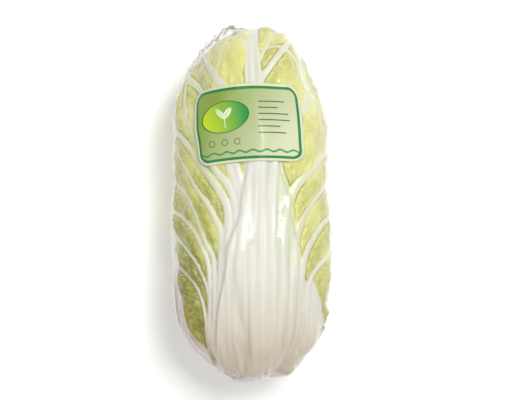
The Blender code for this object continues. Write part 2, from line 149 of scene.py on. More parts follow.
# The leaves: each a thick white stalk that spreads into side veins, with a thin yellow-green blade between
# them. They grow a golden angle apart round the stem and lie tight over each other, folded in at the crown.
# The head's side line from base to crown: place along the axis from mid-length, and radius, in mm. A station
# is a length along this line, from the base.
PROFILE = np.array([
    (-149.5, 0), (-149, 14), (-143, 29), (-130, 42), (-112, 54), (-85, 60.5), (-48, 62.5), (26, 61),
    (66, 61), (87, 56.5), (111, 47.5), (126, 38.5), (139, 23), (144.5, 9), (145, 0),
]) * MM
DEPTH_SHARE = 0.92
ROUNDNESS = 2.4
FLATTER_BELOW = 0.2
SPINE_END = 92 * MM
GOLDEN_ANGLE = math.radians(137.5)
BASE_STATION, BASE_STEP = 20 * MM, 4.5 * MM
TIP_MARGIN = 5 * MM
FOLD_FADE = 150 * MM
# How far a leaf reaches to each side of its midrib: station in mm, and degrees round the head
OUTLINE = [(17, 88), (30, 78), (45, 60), (60, 52), (100, 60), (130, 70), (160, 86), (205, 98), (265, 103),
           (310, 97), (345, 88), (370, 80)]

# Name, side veins (the front leaf's are listed below instead), how far the tip folds past the crown, size,
# and rows and columns of its mesh
LEAVES = [
    ("front_leaf", None, 26 * MM, 1.0, (216, 156)),
    ("back_right_leaf", 8, -4 * MM, 0.98, (160, 110)),
    ("left_leaf", 8, -8 * MM, 0.97, (160, 110)),
    ("right_leaf", 7, -16 * MM, 0.92, (140, 100)),
    ("back_leaf", 7, -14 * MM, 0.92, (140, 100)),
    ("inner_left_leaf", 6, -26 * MM, 0.86, (110, 80)),
    ("inner_right_leaf", 6, -30 * MM, 0.8, (110, 80)),
]
BLADE = 0.8 * MM
# The stalk's thickness and its half-width: station and size, both in mm
STALK_THICKNESS = [(20, 3.2), (45, 5.0), (75, 5.6), (120, 5.0), (200, 3.6), (290, 2.2), (370, 1.2)]
STALK_HALF_WIDTH = [(20, 30), (45, 39), (85, 42), (145, 34), (185, 24), (225, 15), (270, 8), (310, 4),
                    (370, 2)]
STALK_RIM = 5 * MM

# The veins of the front leaf as they lie in the picture, in mm from the axis and from mid-length, each from
# its outer end down to the stalk's foot, with its half-width at both ends and how high it stands there
FRONT_VEINS = [
    ([(-2, 147), (-1, 130), (0, 113), (1, 95), (3, 62), (3, 32), (3, 3), (2, -32), (1, -74), (1, -117),
      (3, -139)], (1.8, 4.4), (1.0, 1.6)),
    ([(-39, 130), (-38, 120), (-33, 111), (-25, 100), (-15, 86), (-8, 62), (-3, 37), (-3, 3), (-5, -32),
      (-7, -74), (-7, -117), (-4, -137)], (2.0, 4.0), (0.9, 1.3)),
    ([(-15, 140), (-9, 135), (-4, 127), (-1, 117)], (0.7, 1.4), (0.5, 0.7)),
    ([(-51, 112), (-49, 103), (-46, 95), (-42, 87), (-35, 76), (-27, 62), (-18, 45), (-11, 25), (-7, 3),
      (-8, -32), (-10, -74), (-10, -112), (-7, -136)], (2.0, 3.2), (1.0, 1.2)),
    ([(-27, 72), (-23, 51), (-19, 32), (-14, 18), (-10, 3), (-9, -19), (-10, -40), (-13, -74), (-14, -112),
      (-10, -135)], (1.6, 3.8), (0.8, 1.5)),
    ([(-47, 54), (-38, 41), (-31, 31), (-24, 23), (-18, 14), (-14, 0), (-14, -19), (-17, -40), (-20, -74),
      (-20, -112), (-16, -134)], (1.5, 3.6), (0.8, 1.4)),
    ([(-69, 83), (-66, 75), (-60, 62), (-52, 47), (-41, 31), (-32, 20), (-25, 9), (-20, -3), (-20, -19),
      (-21, -40), (-25, -74), (-26, -112), (-21, -132)], (2.2, 3.8), (1.2, 1.4)),
    ([(-55, 30), (-46, 14), (-37, 3), (-31, -8), (-26, -20), (-26, -36), (-27, -57), (-30, -83), (-32, -112),
      (-26, -129)], (1.2, 3.2), (0.9, 1.2)),
    ([(-60, 16), (-53, 5), (-47, -9), (-43, -21), (-38, -32), (-33, -41), (-32, -57), (-33, -83),
      (-34, -108), (-31, -124)], (1.2, 2.6), (0.9, 1.2)),
    ([(-64, -1), (-57, -11), (-49, -20), (-43, -32), (-38, -42), (-36, -57), (-37, -83), (-37, -106),
      (-34, -120)], (1.2, 1.8), (0.9, 1.0)),
    ([(-62, -26), (-54, -36), (-47, -45), (-42, -55), (-38, -69), (-37, -87), (-37, -104)],
     (1.1, 1.4), (0.8, 0.8)),
    ([(-62, -46), (-55, -55), (-48, -64), (-43, -76), (-40, -91), (-39, -108), (-38, -121)],
     (0.9, 1.2), (0.7, 0.7)),
    ([(33, 135), (26, 124), (17, 114), (9, 105), (5, 91), (5, 71), (8, 45), (9, 20), (9, -14), (9, -49),
      (9, -91), (8, -137)], (1.5, 4.0), (0.9, 1.2)),
    ([(18, 138), (14, 132), (9, 124), (6, 118)], (0.7, 1.0), (0.5, 0.6)),
    ([(40, 118), (48, 107), (53, 95), (49, 85), (40, 75), (30, 64), (21, 49), (17, 28), (16, -2), (16, -40),
      (16, -91), (14, -137)], (1.6, 4.2), (1.0, 1.6)),
    ([(67, 51), (58, 41), (48, 30), (37, 20), (31, 7), (26, -10), (25, -40), (25, -83), (20, -135)],
     (1.8, 4.0), (1.1, 1.5)),
    ([(68, 26), (59, 15), (51, 5), (44, -5), (39, -18), (35, -36), (33, -74), (32, -108), (26, -132)],
     (1.6, 3.8), (1.0, 1.4)),
    ([(68, -1), (60, -12), (53, -23), (47, -34), (43, -47), (41, -74), (38, -108), (32, -127)],
     (1.4, 3.4), (0.9, 1.3)),
    ([(67, -30), (61, -40), (55, -50), (50, -62), (48, -79), (44, -108), (37, -123)],
     (1.2, 3.0), (0.8, 1.1)),
]
# The front leaf's stalk leans to the right of the axis: station and offset, both in mm
FRONT_LEAN = [(20, 2), (45, 5), (85, 7), (145, 10), (185, 12), (215, 10), (300, 1), (370, 0)]


def smoothstep(x):
    x = np.clip(x, 0, 1)
    return x * x * (3 - 2 * x)


def smooth_line(points, count=400):
    """Points along a smooth curve through the given ones, which starts and ends square to the axis."""
    knots = np.concatenate([[0], np.cumsum(np.linalg.norm(np.diff(points, axis=0), axis=1))])
    slopes = np.gradient(points, knots, axis=0)
    slopes[0], slopes[-1] = (0, 1), (0, -1)
    at = np.linspace(0, knots[-1], count)
    cell = np.clip(np.searchsorted(knots, at) - 1, 0, len(knots) - 2)
    span = (knots[cell + 1] - knots[cell])[:, None]
    t = (at - knots[cell])[:, None] / span
    line = ((2 * t**3 - 3 * t**2 + 1) * points[cell] + (t**3 - 2 * t**2 + t) * span * slopes[cell]
            + (3 * t**2 - 2 * t**3) * points[cell + 1] + (t**3 - t**2) * span * slopes[cell + 1])
    steps = np.linalg.norm(np.diff(line, axis=0), axis=1)
    return line, np.concatenate([[0], np.cumsum(steps)])


SIDE_LINE, STATIONS = smooth_line(PROFILE)
ARC = STATIONS[-1]


def radius_at(station):
    return np.interp(station, STATIONS, SIDE_LINE[:, 1])


def from_table(table, station):
    """A size given in mm or degrees at a few stations in mm, read smoothly between them."""
    stations, sizes = np.array(table, float).T
    cell = np.clip(np.searchsorted(stations, station / MM) - 1, 0, len(stations) - 2)
    share = (station / MM - stations[cell]) / (stations[cell + 1] - stations[cell])
    return sizes[cell] + (sizes[cell + 1] - sizes[cell]) * smoothstep(share)


def section(angle):
    """The half-width of the head's cross-section in this direction, where its greatest is 1."""
    x, z = np.sin(angle), np.cos(angle)
    power = ROUNDNESS - FLATTER_BELOW * z
    return (np.abs(x)**power + np.abs(z / DEPTH_SHARE)**power)**(-1 / power)


def on_head(angle, station, height=0.0):
    """The points at these places of the head, and the direction in which their heights run."""
    y, radius = (np.interp(station, STATIONS, SIDE_LINE[:, k]) for k in (0, 1))
    radius = radius * section(angle)
    spine = np.clip(y, -SPINE_END, SPINE_END)
    out = np.stack([radius * np.sin(angle), y - spine, radius * np.cos(angle)], axis=-1)
    reach = np.linalg.norm(out, axis=-1, keepdims=True)
    out = out / np.maximum(reach, 1e-9)
    root = np.stack([0 * y, spine, 0 * y], axis=-1) * np.ones_like(out)
    return AXIS + root + out * (reach + np.asarray(height)[..., None]), out


def seen_at(x, y):
    """The place on the head's upper side that lies over this point of the table, both from the middle."""
    station = np.interp(y, SIDE_LINE[:, 0], STATIONS)
    angles = np.linspace(-math.pi / 2, math.pi / 2, 181)
    across = np.interp(station, STATIONS, SIDE_LINE[:, 1])
    return np.array([np.interp(at / width, section(angles) * np.sin(angles), angles)
                     for at, width in zip(x, across)]), station


def folded(azimuth, past_crown, spread, station):
    """A leaf's own place, from its midrib and the stem's end, as a place on the head."""
    from_tip = ARC - station
    past = past_crown * (1 - smoothstep(from_tip / FOLD_FADE))
    across, along = from_tip * np.sin(spread), past - from_tip * np.cos(spread)
    return azimuth + np.arctan2(across, -along), ARC - np.hypot(across, along)


def curve_through(points, count=28):
    """More points along a smooth curve through these (Catmull-Rom), as an array of rows."""
    points = np.array(points, float)
    padded = np.vstack([2 * points[0] - points[1], points, 2 * points[-1] - points[-2]])
    at = np.linspace(0, len(points) - 1, count)
    cell = np.minimum(at.astype(int), len(points) - 2)
    t = (at - cell)[:, None]
    a, b, c, d = (padded[cell + k] for k in range(4))
    return (b + t * (c - a) / 2 + t**2 * (a - 2.5 * b + 2 * c - d / 2)
            + t**3 * (1.5 * b - a / 2 - 1.5 * c + d / 2))


UNSEEN_STEP, UNSEEN_STEPS = 5 * MM, 14
UNSEEN_RISE = 16 * MM
CROWN_VEINS_FROM, CROWN_VEINS_SHARE = 112 * MM, 0.6


def run_on(angle, station):
    """The places that a vein passes beyond its end in the picture, towards the leaf's margin."""
    if station[0] > np.interp(CROWN_VEINS_FROM, SIDE_LINE[:, 0], STATIONS):
        reach = ARC - station
        flat = np.stack([reach * np.sin(angle), reach * np.cos(angle)], axis=-1)
        way = (flat[0] - flat[3]) / np.linalg.norm(flat[0] - flat[3])
        further = flat[0] + way * np.arange(UNSEEN_STEPS * CROWN_VEINS_SHARE, 0, -1)[:, None] * UNSEEN_STEP
        return np.arctan2(further[:, 0], further[:, 1]), ARC - np.hypot(*further.T)
    width = radius_at(station[0])
    way = np.array([(angle[0] - angle[3]) * width, station[0] - station[3]])
    way /= np.linalg.norm(way)
    steps = np.arange(UNSEEN_STEPS, 0, -1) * UNSEEN_STEP
    risen = (steps / (UNSEEN_STEPS * UNSEEN_STEP))**2 * UNSEEN_RISE
    passed = np.minimum(station[0] + way[1] * steps + risen, ARC - TIP_MARGIN)
    return angle[0] + way[0] * steps / width, passed


# The leaves that the picture hardly shows: the stations at which the lowest and the highest side vein leave
# the stalk and meet the margin, how each bows on its way, and each vein's half-width and height at its outer
# end with what its inner end adds
VEIN_LEAVES, VEIN_ENDS = (50 * MM, 300 * MM), (90 * MM, 372 * MM)
VEIN_BOW_ALONG, VEIN_BOW_ACROSS = 0.42, 0.12
VEIN_INSET = 0.8
SIDE_VEIN_WIDTH, SIDE_VEIN_HEIGHT = (1.0 * MM, 2.6 * MM), (0.7 * MM, 0.7 * MM)
MIDRIB_WIDTH, MIDRIB_HEIGHT = (1.6 * MM, 3.0 * MM), (0.9 * MM, 0.8 * MM)


def inside_stalk(station, rise):
    """The angle from the midrib at which a vein runs down the stalk, less for one that leaves it higher."""
    return from_table(STALK_HALF_WIDTH, station) * MM * (1 - rise)**0.5 * VEIN_INSET / radius_at(station)


def bowed(start, end, bow, t):
    """A curve from start to end that stays near its start at first, the more so the smaller its bow is."""
    return (1 - t)**2 * start + 2 * t * (1 - t) * (start + bow * (end - start)) + t**2 * end


def vein_lines(order, side_veins, past_crown, size):
    """Each vein as points on the head, with its half-width and height at each point."""
    azimuth, found = order * GOLDEN_ANGLE, []
    if side_veins is None:
        for points, widths, heights in FRONT_VEINS:
            line = curve_through(points) * MM
            seen = seen_at(line[:, 0], line[:, 1])
            unseen = run_on(*seen)
            fade = np.linspace(0.35, 1, len(unseen[0]))
            share = np.linspace(0, 1, len(line))**0.8
            size_along = [np.concatenate([fade * ends[0], np.interp(share, (0, 1), ends)]) * MM
                          for ends in (widths, heights)]
            places = [np.concatenate(both) for both in zip(unseen, seen)]
            found.append((on_head(*places)[0], *size_along))
        return found
    base = BASE_STATION + BASE_STEP * order
    t = np.linspace(0, 1, 24)
    for side in (-1, 1):
        for vein in range(side_veins):
            rise = (vein + 0.3) / side_veins
            leave, end = (np.interp(rise, (0, 1), ends) for ends in (VEIN_LEAVES, VEIN_ENDS))
            edge = math.radians(from_table(OUTLINE, end)) * size
            down = np.linspace(base + 6 * MM, leave, 14)[:-1]
            station = np.concatenate([down, bowed(leave, end, VEIN_BOW_ALONG, t)])[::-1]
            spread = np.concatenate([inside_stalk(down, rise),
                                     bowed(inside_stalk(leave, rise), edge, VEIN_BOW_ACROSS, t)])[::-1] * side
            share = np.linspace(0, 1, len(station))
            found.append((on_head(*folded(azimuth, past_crown, spread, station))[0],
                          (SIDE_VEIN_WIDTH[0] + SIDE_VEIN_WIDTH[1] * share**1.2) * size,
                          (SIDE_VEIN_HEIGHT[0] + SIDE_VEIN_HEIGHT[1] * share) * size))
    station = np.linspace(ARC - TIP_MARGIN, base + 4 * MM, 40)
    share = np.linspace(0, 1, 40)
    found.append((on_head(*folded(azimuth, past_crown, 0 * station, station))[0],
                  (MIDRIB_WIDTH[0] + MIDRIB_WIDTH[1] * share) * size,
                  (MIDRIB_HEIGHT[0] + MIDRIB_HEIGHT[1] * share) * size))
    return found


FAR_FROM_VEIN = 30 * MM


def vein_field(points, lines):
    """How high the veins stand at each point, how far the nearest vein's edge and the next one's are, and how
    far along the nearest vein the point lies."""
    flat = points.reshape(-1, 3)
    raised, along = np.zeros(len(flat)), np.zeros(len(flat))
    nearest, second = (np.full(len(flat), FAR_FROM_VEIN) for _ in range(2))
    for line, widths, heights in lines:
        start, step = line[:-1], np.diff(line, axis=0)
        knots = np.concatenate([[0], np.cumsum(np.linalg.norm(step, axis=1))])
        reach = FAR_FROM_VEIN * 0.8
        near = np.flatnonzero(((flat > line.min(0) - reach) & (flat < line.max(0) + reach)).all(axis=1))
        if not len(near):
            continue
        offset = flat[near, None] - start
        share = np.clip(np.sum(offset * step, -1) / np.maximum(np.sum(step * step, -1), 1e-12), 0, 1)
        gap = np.linalg.norm(offset - share[..., None] * step, axis=-1)
        best = np.argmin(gap, axis=1)
        row = np.arange(len(near))
        at = best + share[row, best]
        width = np.interp(at, np.arange(len(line)), widths)
        height = np.interp(at, np.arange(len(line)), heights)
        dome = np.maximum(1 - (gap[row, best] / width / 1.25)**2, 0)
        raised[near] = (raised[near]**4 + (height * dome)**4)**0.25
        edge = gap[row, best] - width
        closer = edge < nearest[near]
        second[near] = np.where(closer, nearest[near], np.minimum(second[near], edge))
        nearest[near] = np.where(closer, edge, nearest[near])
        along[near] = np.where(closer, np.interp(at, np.arange(len(line)), knots), along[near])
    return tuple(field.reshape(points.shape[:-1]) for field in (raised, nearest, second, along))


def tree_of(points, faces):
    return BVHTree.FromPolygons(points.reshape(-1, 3).tolist(), faces.tolist())


def cad_tree(node):
    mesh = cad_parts[node].data
    points = np.empty(len(mesh.vertices) * 3, np.float32)
    mesh.vertices.foreach_get("co", points)
    faces = np.empty(len(mesh.polygons) * 3, np.int32)
    mesh.polygons.foreach_get("vertices", faces)
    return tree_of(points, faces.reshape(-1, 3))


RAY_ABOVE, RAY_BELOW = 40 * MM, 45 * MM


def heights_on(tree, angle, station, inwards):
    """The height of the first face met at each place, looking inwards or outwards, or nan where none is."""
    foot, out = on_head(angle, station)
    start, way = (foot + out * RAY_ABOVE, -out) if inwards else (foot - out * RAY_BELOW, out)
    found = np.full(angle.size, np.nan)
    for k, (origin, direction) in enumerate(zip(start.reshape(-1, 3).tolist(), way.reshape(-1, 3).tolist())):
        distance = tree.ray_cast(Vector(origin), Vector(direction), RAY_ABOVE + RAY_BELOW)[3]
        if distance is not None:
            found[k] = RAY_ABOVE - distance if inwards else distance - RAY_BELOW
    return found.reshape(angle.shape)


def filled(grid):
    """The grid with its gaps taken from the places round them."""
    grid = grid.copy()
    while np.isnan(grid).any():
        padded = np.pad(grid, 1, constant_values=np.nan)
        round_it = np.stack([padded[2:, 1:-1], padded[:-2, 1:-1], padded[1:-1, 2:], padded[1:-1, :-2]])
        known = ~np.isnan(round_it)
        if not known.any():
            return np.zeros_like(grid)
        mean = np.where(known, round_it, 0).sum(0) / np.maximum(known.sum(0), 1)
        gaps = np.isnan(grid) & known.any(0)
        grid[gaps] = mean[gaps]
    return grid


def neighbours(grid, closed=False):
    """The sum of each place's four neighbours, on a grid whose last column may lie on its first."""
    padded = np.pad(grid, 1, mode="edge")
    if closed:
        padded[1:-1, 0], padded[1:-1, -1] = grid[:, -2], grid[:, 1]
    return padded[2:, 1:-1] + padded[:-2, 1:-1] + padded[1:-1, 2:] + padded[1:-1, :-2]


def smoothed(grid, rounds, closed=False):
    for _ in range(rounds):
        grid = (grid * 4 + neighbours(grid, closed)) / 8
    return grid


def resampled(grid, rows, columns):
    """The grid read at more places, along smooth curves through its own."""
    return curve_through(curve_through(grid, rows).T, columns).T


def grid_index(rows, columns, start=0):
    return start + np.arange(rows * columns).reshape(rows, columns)


def faces_of(index, turned=False):
    """The faces between the points of a grid, given by their numbers."""
    faces = np.stack([index[:-1, :-1], index[:-1, 1:], index[1:, 1:], index[1:, :-1]], axis=-1).reshape(-1, 4)
    return faces[:, ::-1] if turned else faces


def two_sided(name, outer, inner, faces, attributes):
    """A mesh object on two grids of points, with values at each point that both of its sides share."""
    mesh = bpy.data.meshes.new(name)
    mesh.from_pydata(np.vstack([outer.reshape(-1, 3), inner.reshape(-1, 3)]), [], faces.tolist())
    for key, values in attributes.items():
        kind, field = ("FLOAT", "value") if values.ndim == 2 else ("FLOAT_VECTOR", "vector")
        both = np.concatenate([values.reshape(outer.size // 3, -1)] * 2).astype(np.float32).ravel()
        mesh.attributes.new(key, kind, "POINT").data.foreach_set(field, both)
    return placed(name, mesh)


def slab_object(name, outer, inner, attributes):
    """A slab between two grids of points, closed round its rim."""
    count = outer.size // 3
    index = grid_index(*outer.shape[:2])
    rim = np.concatenate([index[0, :-1], index[:-1, -1], index[-1, :0:-1], index[:0:-1, 0]])
    after = np.roll(rim, -1)
    faces = np.vstack([faces_of(index), faces_of(index + count, turned=True),
                       np.stack([rim, rim + count, after + count, after], axis=-1)])
    return two_sided(name, outer, inner, faces, attributes)


def new_tree(name, kind, inputs, outputs):
    """A node tree with its sockets, the function that adds its nodes, and the node that gives its inputs."""
    tree = bpy.data.node_groups.new(name, f"{kind}NodeTree")
    for way, sockets in (("INPUT", inputs), ("OUTPUT", outputs)):
        for socket_name, socket_kind in sockets.items():
            tree.interface.new_socket(socket_name, in_out=way, socket_type=f"NodeSocket{socket_kind}")
    adder = node_adder(tree)
    return tree, adder, adder("NodeGroupInput")


def calculate(operation, *values, clamp=False):
    return add("ShaderNodeMath", {"operation": operation, "use_clamp": clamp},
               **{f"_{k}": value for k, value in enumerate(values)}).outputs[0]


def times(value, *others):
    for other in others:
        value = calculate("MULTIPLY", value, other)
    return value


def vector(operation, *values):
    return add("ShaderNodeVectorMath", {"operation": operation},
               **{f"_{k}": value for k, value in enumerate(values)}).outputs[0]


def scaled(value, by):
    return add("ShaderNodeVectorMath", {"operation": "SCALE"}, _0=value, Scale=by).outputs[0]


def ramp(value, low, high, at_low=0.0, at_high=1.0):
    """A value's smooth rise or fall between two limits."""
    return add("ShaderNodeMapRange", {"interpolation_type": "SMOOTHSTEP"}, Value=value, From_Min=low,
               From_Max=high, To_Min=at_low, To_Max=at_high).outputs[0]


def ridges(place, scale, detail, offset):
    """A noise of ridges, which are crisp lines where the offset is 1."""
    return add("ShaderNodeTexNoise", {"noise_type": "RIDGED_MULTIFRACTAL"}, Vector=place, Scale=scale,
               Detail=detail, Offset=offset).outputs["Fac"]


def given_at(name, kind="FLOAT"):
    """A value that the mesh carries at each of its points."""
    return add("GeometryNodeInputNamedAttribute", {"data_type": kind}, Name=name).outputs[0]


def end_pushed_out(reach):
    """Ends a tree of geometry nodes: its points move outwards by this reach, and it gets its material."""
    push = scaled(given_at("outwards", "FLOAT_VECTOR"), reach)
    moved = add("GeometryNodeSetPosition", Geometry=given.outputs["Geometry"], Offset=push).outputs[0]
    real = add("GeometryNodeRealizeInstances", Geometry=moved).outputs[0]
    dressed = add("GeometryNodeSetMaterial", Geometry=real, Material=given.outputs["Material"])
    add("NodeGroupOutput", Geometry=dressed.outputs[0])


# Geometry nodes that quilt the blade between its veins: it swells between the branches of a vein, which lie
# in the valleys, and it is wrinkled more finely on top of that
QUILT_LEVEL, FOLD_LEVEL = 0.75, 0.85
blister, add, given = new_tree("quilted_blade", "Geometry", {
    "Geometry": "Geometry", "Quilt": "Float", "Wrinkle": "Float", "Wrinkle Size": "Float",
    "Material": "Material"}, {"Geometry": "Geometry"})
ridge = calculate("ABSOLUTE", calculate("SINE", times(given_at("branch"), math.pi)))
valley = calculate("SUBTRACT", 1.0, ridge)
sunk = times(valley, valley, ramp(given_at("middle"), 0.45, 1.0, 1.0, 0.0))
quilt = times(calculate("SUBTRACT", QUILT_LEVEL, sunk), given.outputs["Quilt"])
rate = calculate("DIVIDE", 1.0, given.outputs["Wrinkle Size"])
folds = calculate("SUBTRACT", FOLD_LEVEL, ridges(given_at("flat", "FLOAT_VECTOR"), rate, 1.0, 1.0))
wrinkled = calculate("MULTIPLY_ADD", folds, given.outputs["Wrinkle"], quilt)
end_pushed_out(times(wrinkled, ramp(given_at("edge"), 0.0, 3.5)))


def points_of(obj):
    points = np.empty(len(obj.data.vertices) * 3, np.float32)
    obj.data.vertices.foreach_get("co", points)
    return points.reshape(-1, 3).astype(float)


def move_to(obj, points):
    obj.data.vertices.foreach_set("co", points.astype(np.float32).ravel())
    obj.data.update()


# Where the head departs from its plain side line: at its crown, its right shoulder and its base
CROWN_RISE, CROWN_WIDTH, CROWN_FROM, CROWN_TO = 6.0 * MM, 34 * MM, 88 * MM, 145 * MM
SHOULDER_PULL, SHOULDER_AT, SHOULDER_LENGTH, SHOULDER_FADE = 6.8 * MM, 111 * MM, 33 * MM, 45 * MM
BASE_FILL, BASE_FILL_RADIUS, BASE_FILL_WIDTH = 6.5 * MM, 30 * MM, 12 * MM
BASE_FILL_FROM, BASE_FILL_FADE = -100 * MM, 36 * MM


def draw_in(obj):
    """Gives a finished piece the head's pointed crown, narrower right shoulder and blunt base."""
    points = points_of(obj)
    x, y, z = (points - AXIS).T
    risen = smoothstep((y - CROWN_FROM) / (CROWN_TO - CROWN_FROM))
    pointed = CROWN_RISE * np.exp(-(x / CROWN_WIDTH)**2) * risen
    on_shoulder = np.exp(-((y - SHOULDER_AT) / SHOULDER_LENGTH)**2) * smoothstep(x / SHOULDER_FADE)
    at_rim = np.exp(-((np.hypot(x, z) - BASE_FILL_RADIUS) / BASE_FILL_WIDTH)**2)
    filled_out = BASE_FILL * at_rim * smoothstep((BASE_FILL_FROM - y) / BASE_FILL_FADE)
    points[:, 0] -= SHOULDER_PULL * on_shoulder
    points[:, 1] += pointed - filled_out
    move_to(obj, points)


def run_nodes(obj, tree, name, **values):
    """Runs a geometry node tree on an object and leaves a plain mesh."""
    modifier = obj.modifiers.new("nodes", "NODES")
    modifier.node_group = tree
    for item in tree.interface.items_tree:
        if item.in_out == "INPUT" and item.name in values:
            modifier[item.identifier] = values[item.name]
    return plain_copy(obj, name)


# What every leaf's surface shows: pale flesh on the stalk and veins, and blade between them, greener away
# from the veins, with their branches, a fine net and rucks in it, and painted shade beside the branches, in
# the rucks and in the creases by the veins. The foot is browned, partly as painted shade, the lower left is
# darkened with painted shade, and a few dark specks lie all over.
# Painted shade for the blade beside its branches, in its rucks and in the creases by the veins
SHADE_BESIDE_BRANCHES, SHADE_IN_RUCKS, SHADE_IN_CREASES = (0.20, 0.26, 0.01, 1), (0.17, 0.22, 0.01, 1), (0.16, 0.19, 0.01, 1)
# The second is the grooves' greener tinge, partly painted shade
VEIN_TINGE, GROOVE_TINGE_AND_SHADE = (0.70, 0.76, 0.42, 1), (0.60, 0.66, 0.42, 1)
# The first two are painted shade for the leaves' lower left; the specks are the leaf's own
SHADE_ON_LOW_LEFT_STALK, LOW_LEFT_SHADE, SPECK = (0.47, 0.34, 0.25, 1), (0.82, 0.62, 0.60, 1), (0.16, 0.11, 0.05, 1)
NET_SCALE, RUCK_SCALE, SPECK_SCALE = 240.0, 58.0, 62.0
NET_WARP, RUCK_WARP, STREAK_WARP = (0.004, 0.004, 0.0), (0.012, 0.012, 0.0), (0.9, 0.9, 0.0)
FIBRE_SCALES = (420.0, 16.0, 1.0)
SPECKS_LEFT_OUT = 0.86

leaf_look, add, given = new_tree("leaf_look", "Shader", {
    "Flesh": "Color", "Blade": "Color", "Green": "Color", "Foot": "Color"},
    {"Colour": "Color", "Height": "Float", "Roughness": "Float"})


def carried(name, output="Fac"):
    """A value that the mesh carries, read by a material."""
    return add("ShaderNodeAttribute", {"attribute_name": name}).outputs[output]


# A leaf's mesh carries its place on the flat leaf, the distance in mm from the edge of the nearest vein or of
# the stalk, less at the white foot, a middle that is 1 halfway between two veins, a count of branches along
# the vein, its greenness, and the stalk's grooves
flat = carried("flat", "Vector")
edge, middle, branch, green = (carried(name) for name in ("edge", "middle", "branch", "green"))
patch = noise(flat, 28.0, 4.0)
wavered = calculate("MULTIPLY_ADD", noise(flat, 230.0, 2.0), 1.6, edge)
vein = ramp(wavered, 0.2, 1.7, 1.0, 0.0)
# A band just outside each vein's edge, where the blade meets the vein, which gets painted shade
crease_shade_band = times(ramp(wavered, 1.2, 1.9), ramp(wavered, 1.9, 3.1, 1.0, 0.0), ramp(patch, 0.4, 0.6))

to_branch = calculate("ABSOLUTE", calculate("SINE", times(branch, math.pi)))
branch_share = times(ramp(to_branch, 0.06, 0.2, 1.0, 0.0), ramp(middle, 0.3, 0.9, 1.0, 0.0))
# A band on each side of a branch, in the blade's hollow by it, which gets painted shade
branch_shade_band = times(ramp(to_branch, 0.16, 0.26), ramp(to_branch, 0.26, 0.45, 1.0, 0.0), ramp(patch, 0.42, 0.62))
warp = add("ShaderNodeTexNoise", Vector=flat, Scale=150.0, Detail=2.0).outputs["Color"]
net = add("ShaderNodeTexVoronoi", {"feature": "DISTANCE_TO_EDGE"},
          Vector=vector("MULTIPLY_ADD", warp, NET_WARP, flat), Scale=NET_SCALE).outputs["Distance"]
lines = calculate("MAXIMUM", branch_share, ramp(net, 0.0, 0.16, 0.22, 0.0))
rucks = ridges(vector("MULTIPLY_ADD", warp, RUCK_WARP, flat), RUCK_SCALE, 0.0, 1.0)
fold_line = times(ramp(rucks, 0.86, 0.96), ramp(patch, 0.38, 0.55))
with_branches = add("ShaderNodeCombineXYZ", X=times(branch, 2.3), Y=times(middle, 1.1)).outputs[0]
streaks = ridges(vector("MULTIPLY_ADD", warp, STREAK_WARP, with_branches), 1.0, 0.0, 1.0)
streak = times(ramp(streaks, 0.84, 0.95), ramp(patch, 0.35, 0.6))
ruck = times(calculate("MAXIMUM", fold_line, streak), ramp(edge, 0.8, 2.4), ramp(green, 0.1, 0.8, 0.3, 1.0))

greener = calculate("ADD", green, times(ramp(edge, 0.5, 7.0), 0.35))
greened = calculate("ADD", greener, calculate("MULTIPLY_ADD", patch, 1.5, -0.75), clamp=True)
blade_colour = blend(greened, given.outputs["Blade"], given.outputs["Green"])
# Painted shade beside the branches
shaded = blend(times(branch_shade_band, 0.55), blade_colour, SHADE_BESIDE_BRANCHES)
# Painted shade along the rucks' fold lines
ruck_shaded = blend(times(ruck, 0.75), shaded, SHADE_IN_RUCKS)
netted = blend(times(lines, 0.68), ruck_shaded, given.outputs["Flesh"])
# Painted shade in the creases where the blade meets the veins
creased = blend(times(crease_shade_band, 0.75), netted, SHADE_IN_CREASES)

fibre = noise(vector("MULTIPLY", flat, FIBRE_SCALES), 1.0, 3.0)
place = add("ShaderNodeTexCoord").outputs["Object"]
across, along, _ = add("ShaderNodeSeparateXYZ", Vector=place).outputs
side_vein = times(ramp(calculate("ABSOLUTE", across), 0.014, 0.036), ramp(along, -0.07, 0.0, 0.0, 0.6))
veined = blend(side_vein, given.outputs["Flesh"], VEIN_TINGE)
# The grooves between the stalk's ribs are tinged greener and darker, partly as painted shade
flesh = blend(times(carried("groove"), 0.55), veined, GROOVE_TINGE_AND_SHADE)
leafed = blend(vein, creased, scaled(flesh, ramp(fibre, 0.3, 0.7, 0.95, 1.03)))
# Painted shade on the flesh at the lower left
low_left_stalk_shade = times(ramp(across, -0.060, -0.036, 0.9, 0.0), ramp(along, -0.10, -0.02, 1.0, 0.0), vein)
stalk_shaded_low_left = blend(low_left_stalk_shade, leafed, SHADE_ON_LOW_LEFT_STALK, "MULTIPLY")
# Painted shade over the whole lower left
low_left_shade_mask = times(ramp(across, -0.066, -0.036, 0.9, 0.0), ramp(along, -0.12, -0.03, 1.0, 0.0))
low_left_shaded = blend(low_left_shade_mask, stalk_shaded_low_left, LOW_LEFT_SHADE, "MULTIPLY")
# The foot is browned, partly as painted shade
foot_browned_and_shaded = blend(ramp(along, -0.152, -0.05, 0.85, 0.0), low_left_shaded, given.outputs["Foot"], "MULTIPLY")
speck_cells = add("ShaderNodeTexVoronoi", Vector=flat, Scale=SPECK_SCALE, Randomness=1.0)
chosen = add("ShaderNodeSeparateColor", Color=speck_cells.outputs["Color"]).outputs["Red"]
specks = times(ramp(speck_cells.outputs["Distance"], 0.03, 0.048, 0.75, 0.0),
               calculate("GREATER_THAN", chosen, SPECKS_LEFT_OUT))

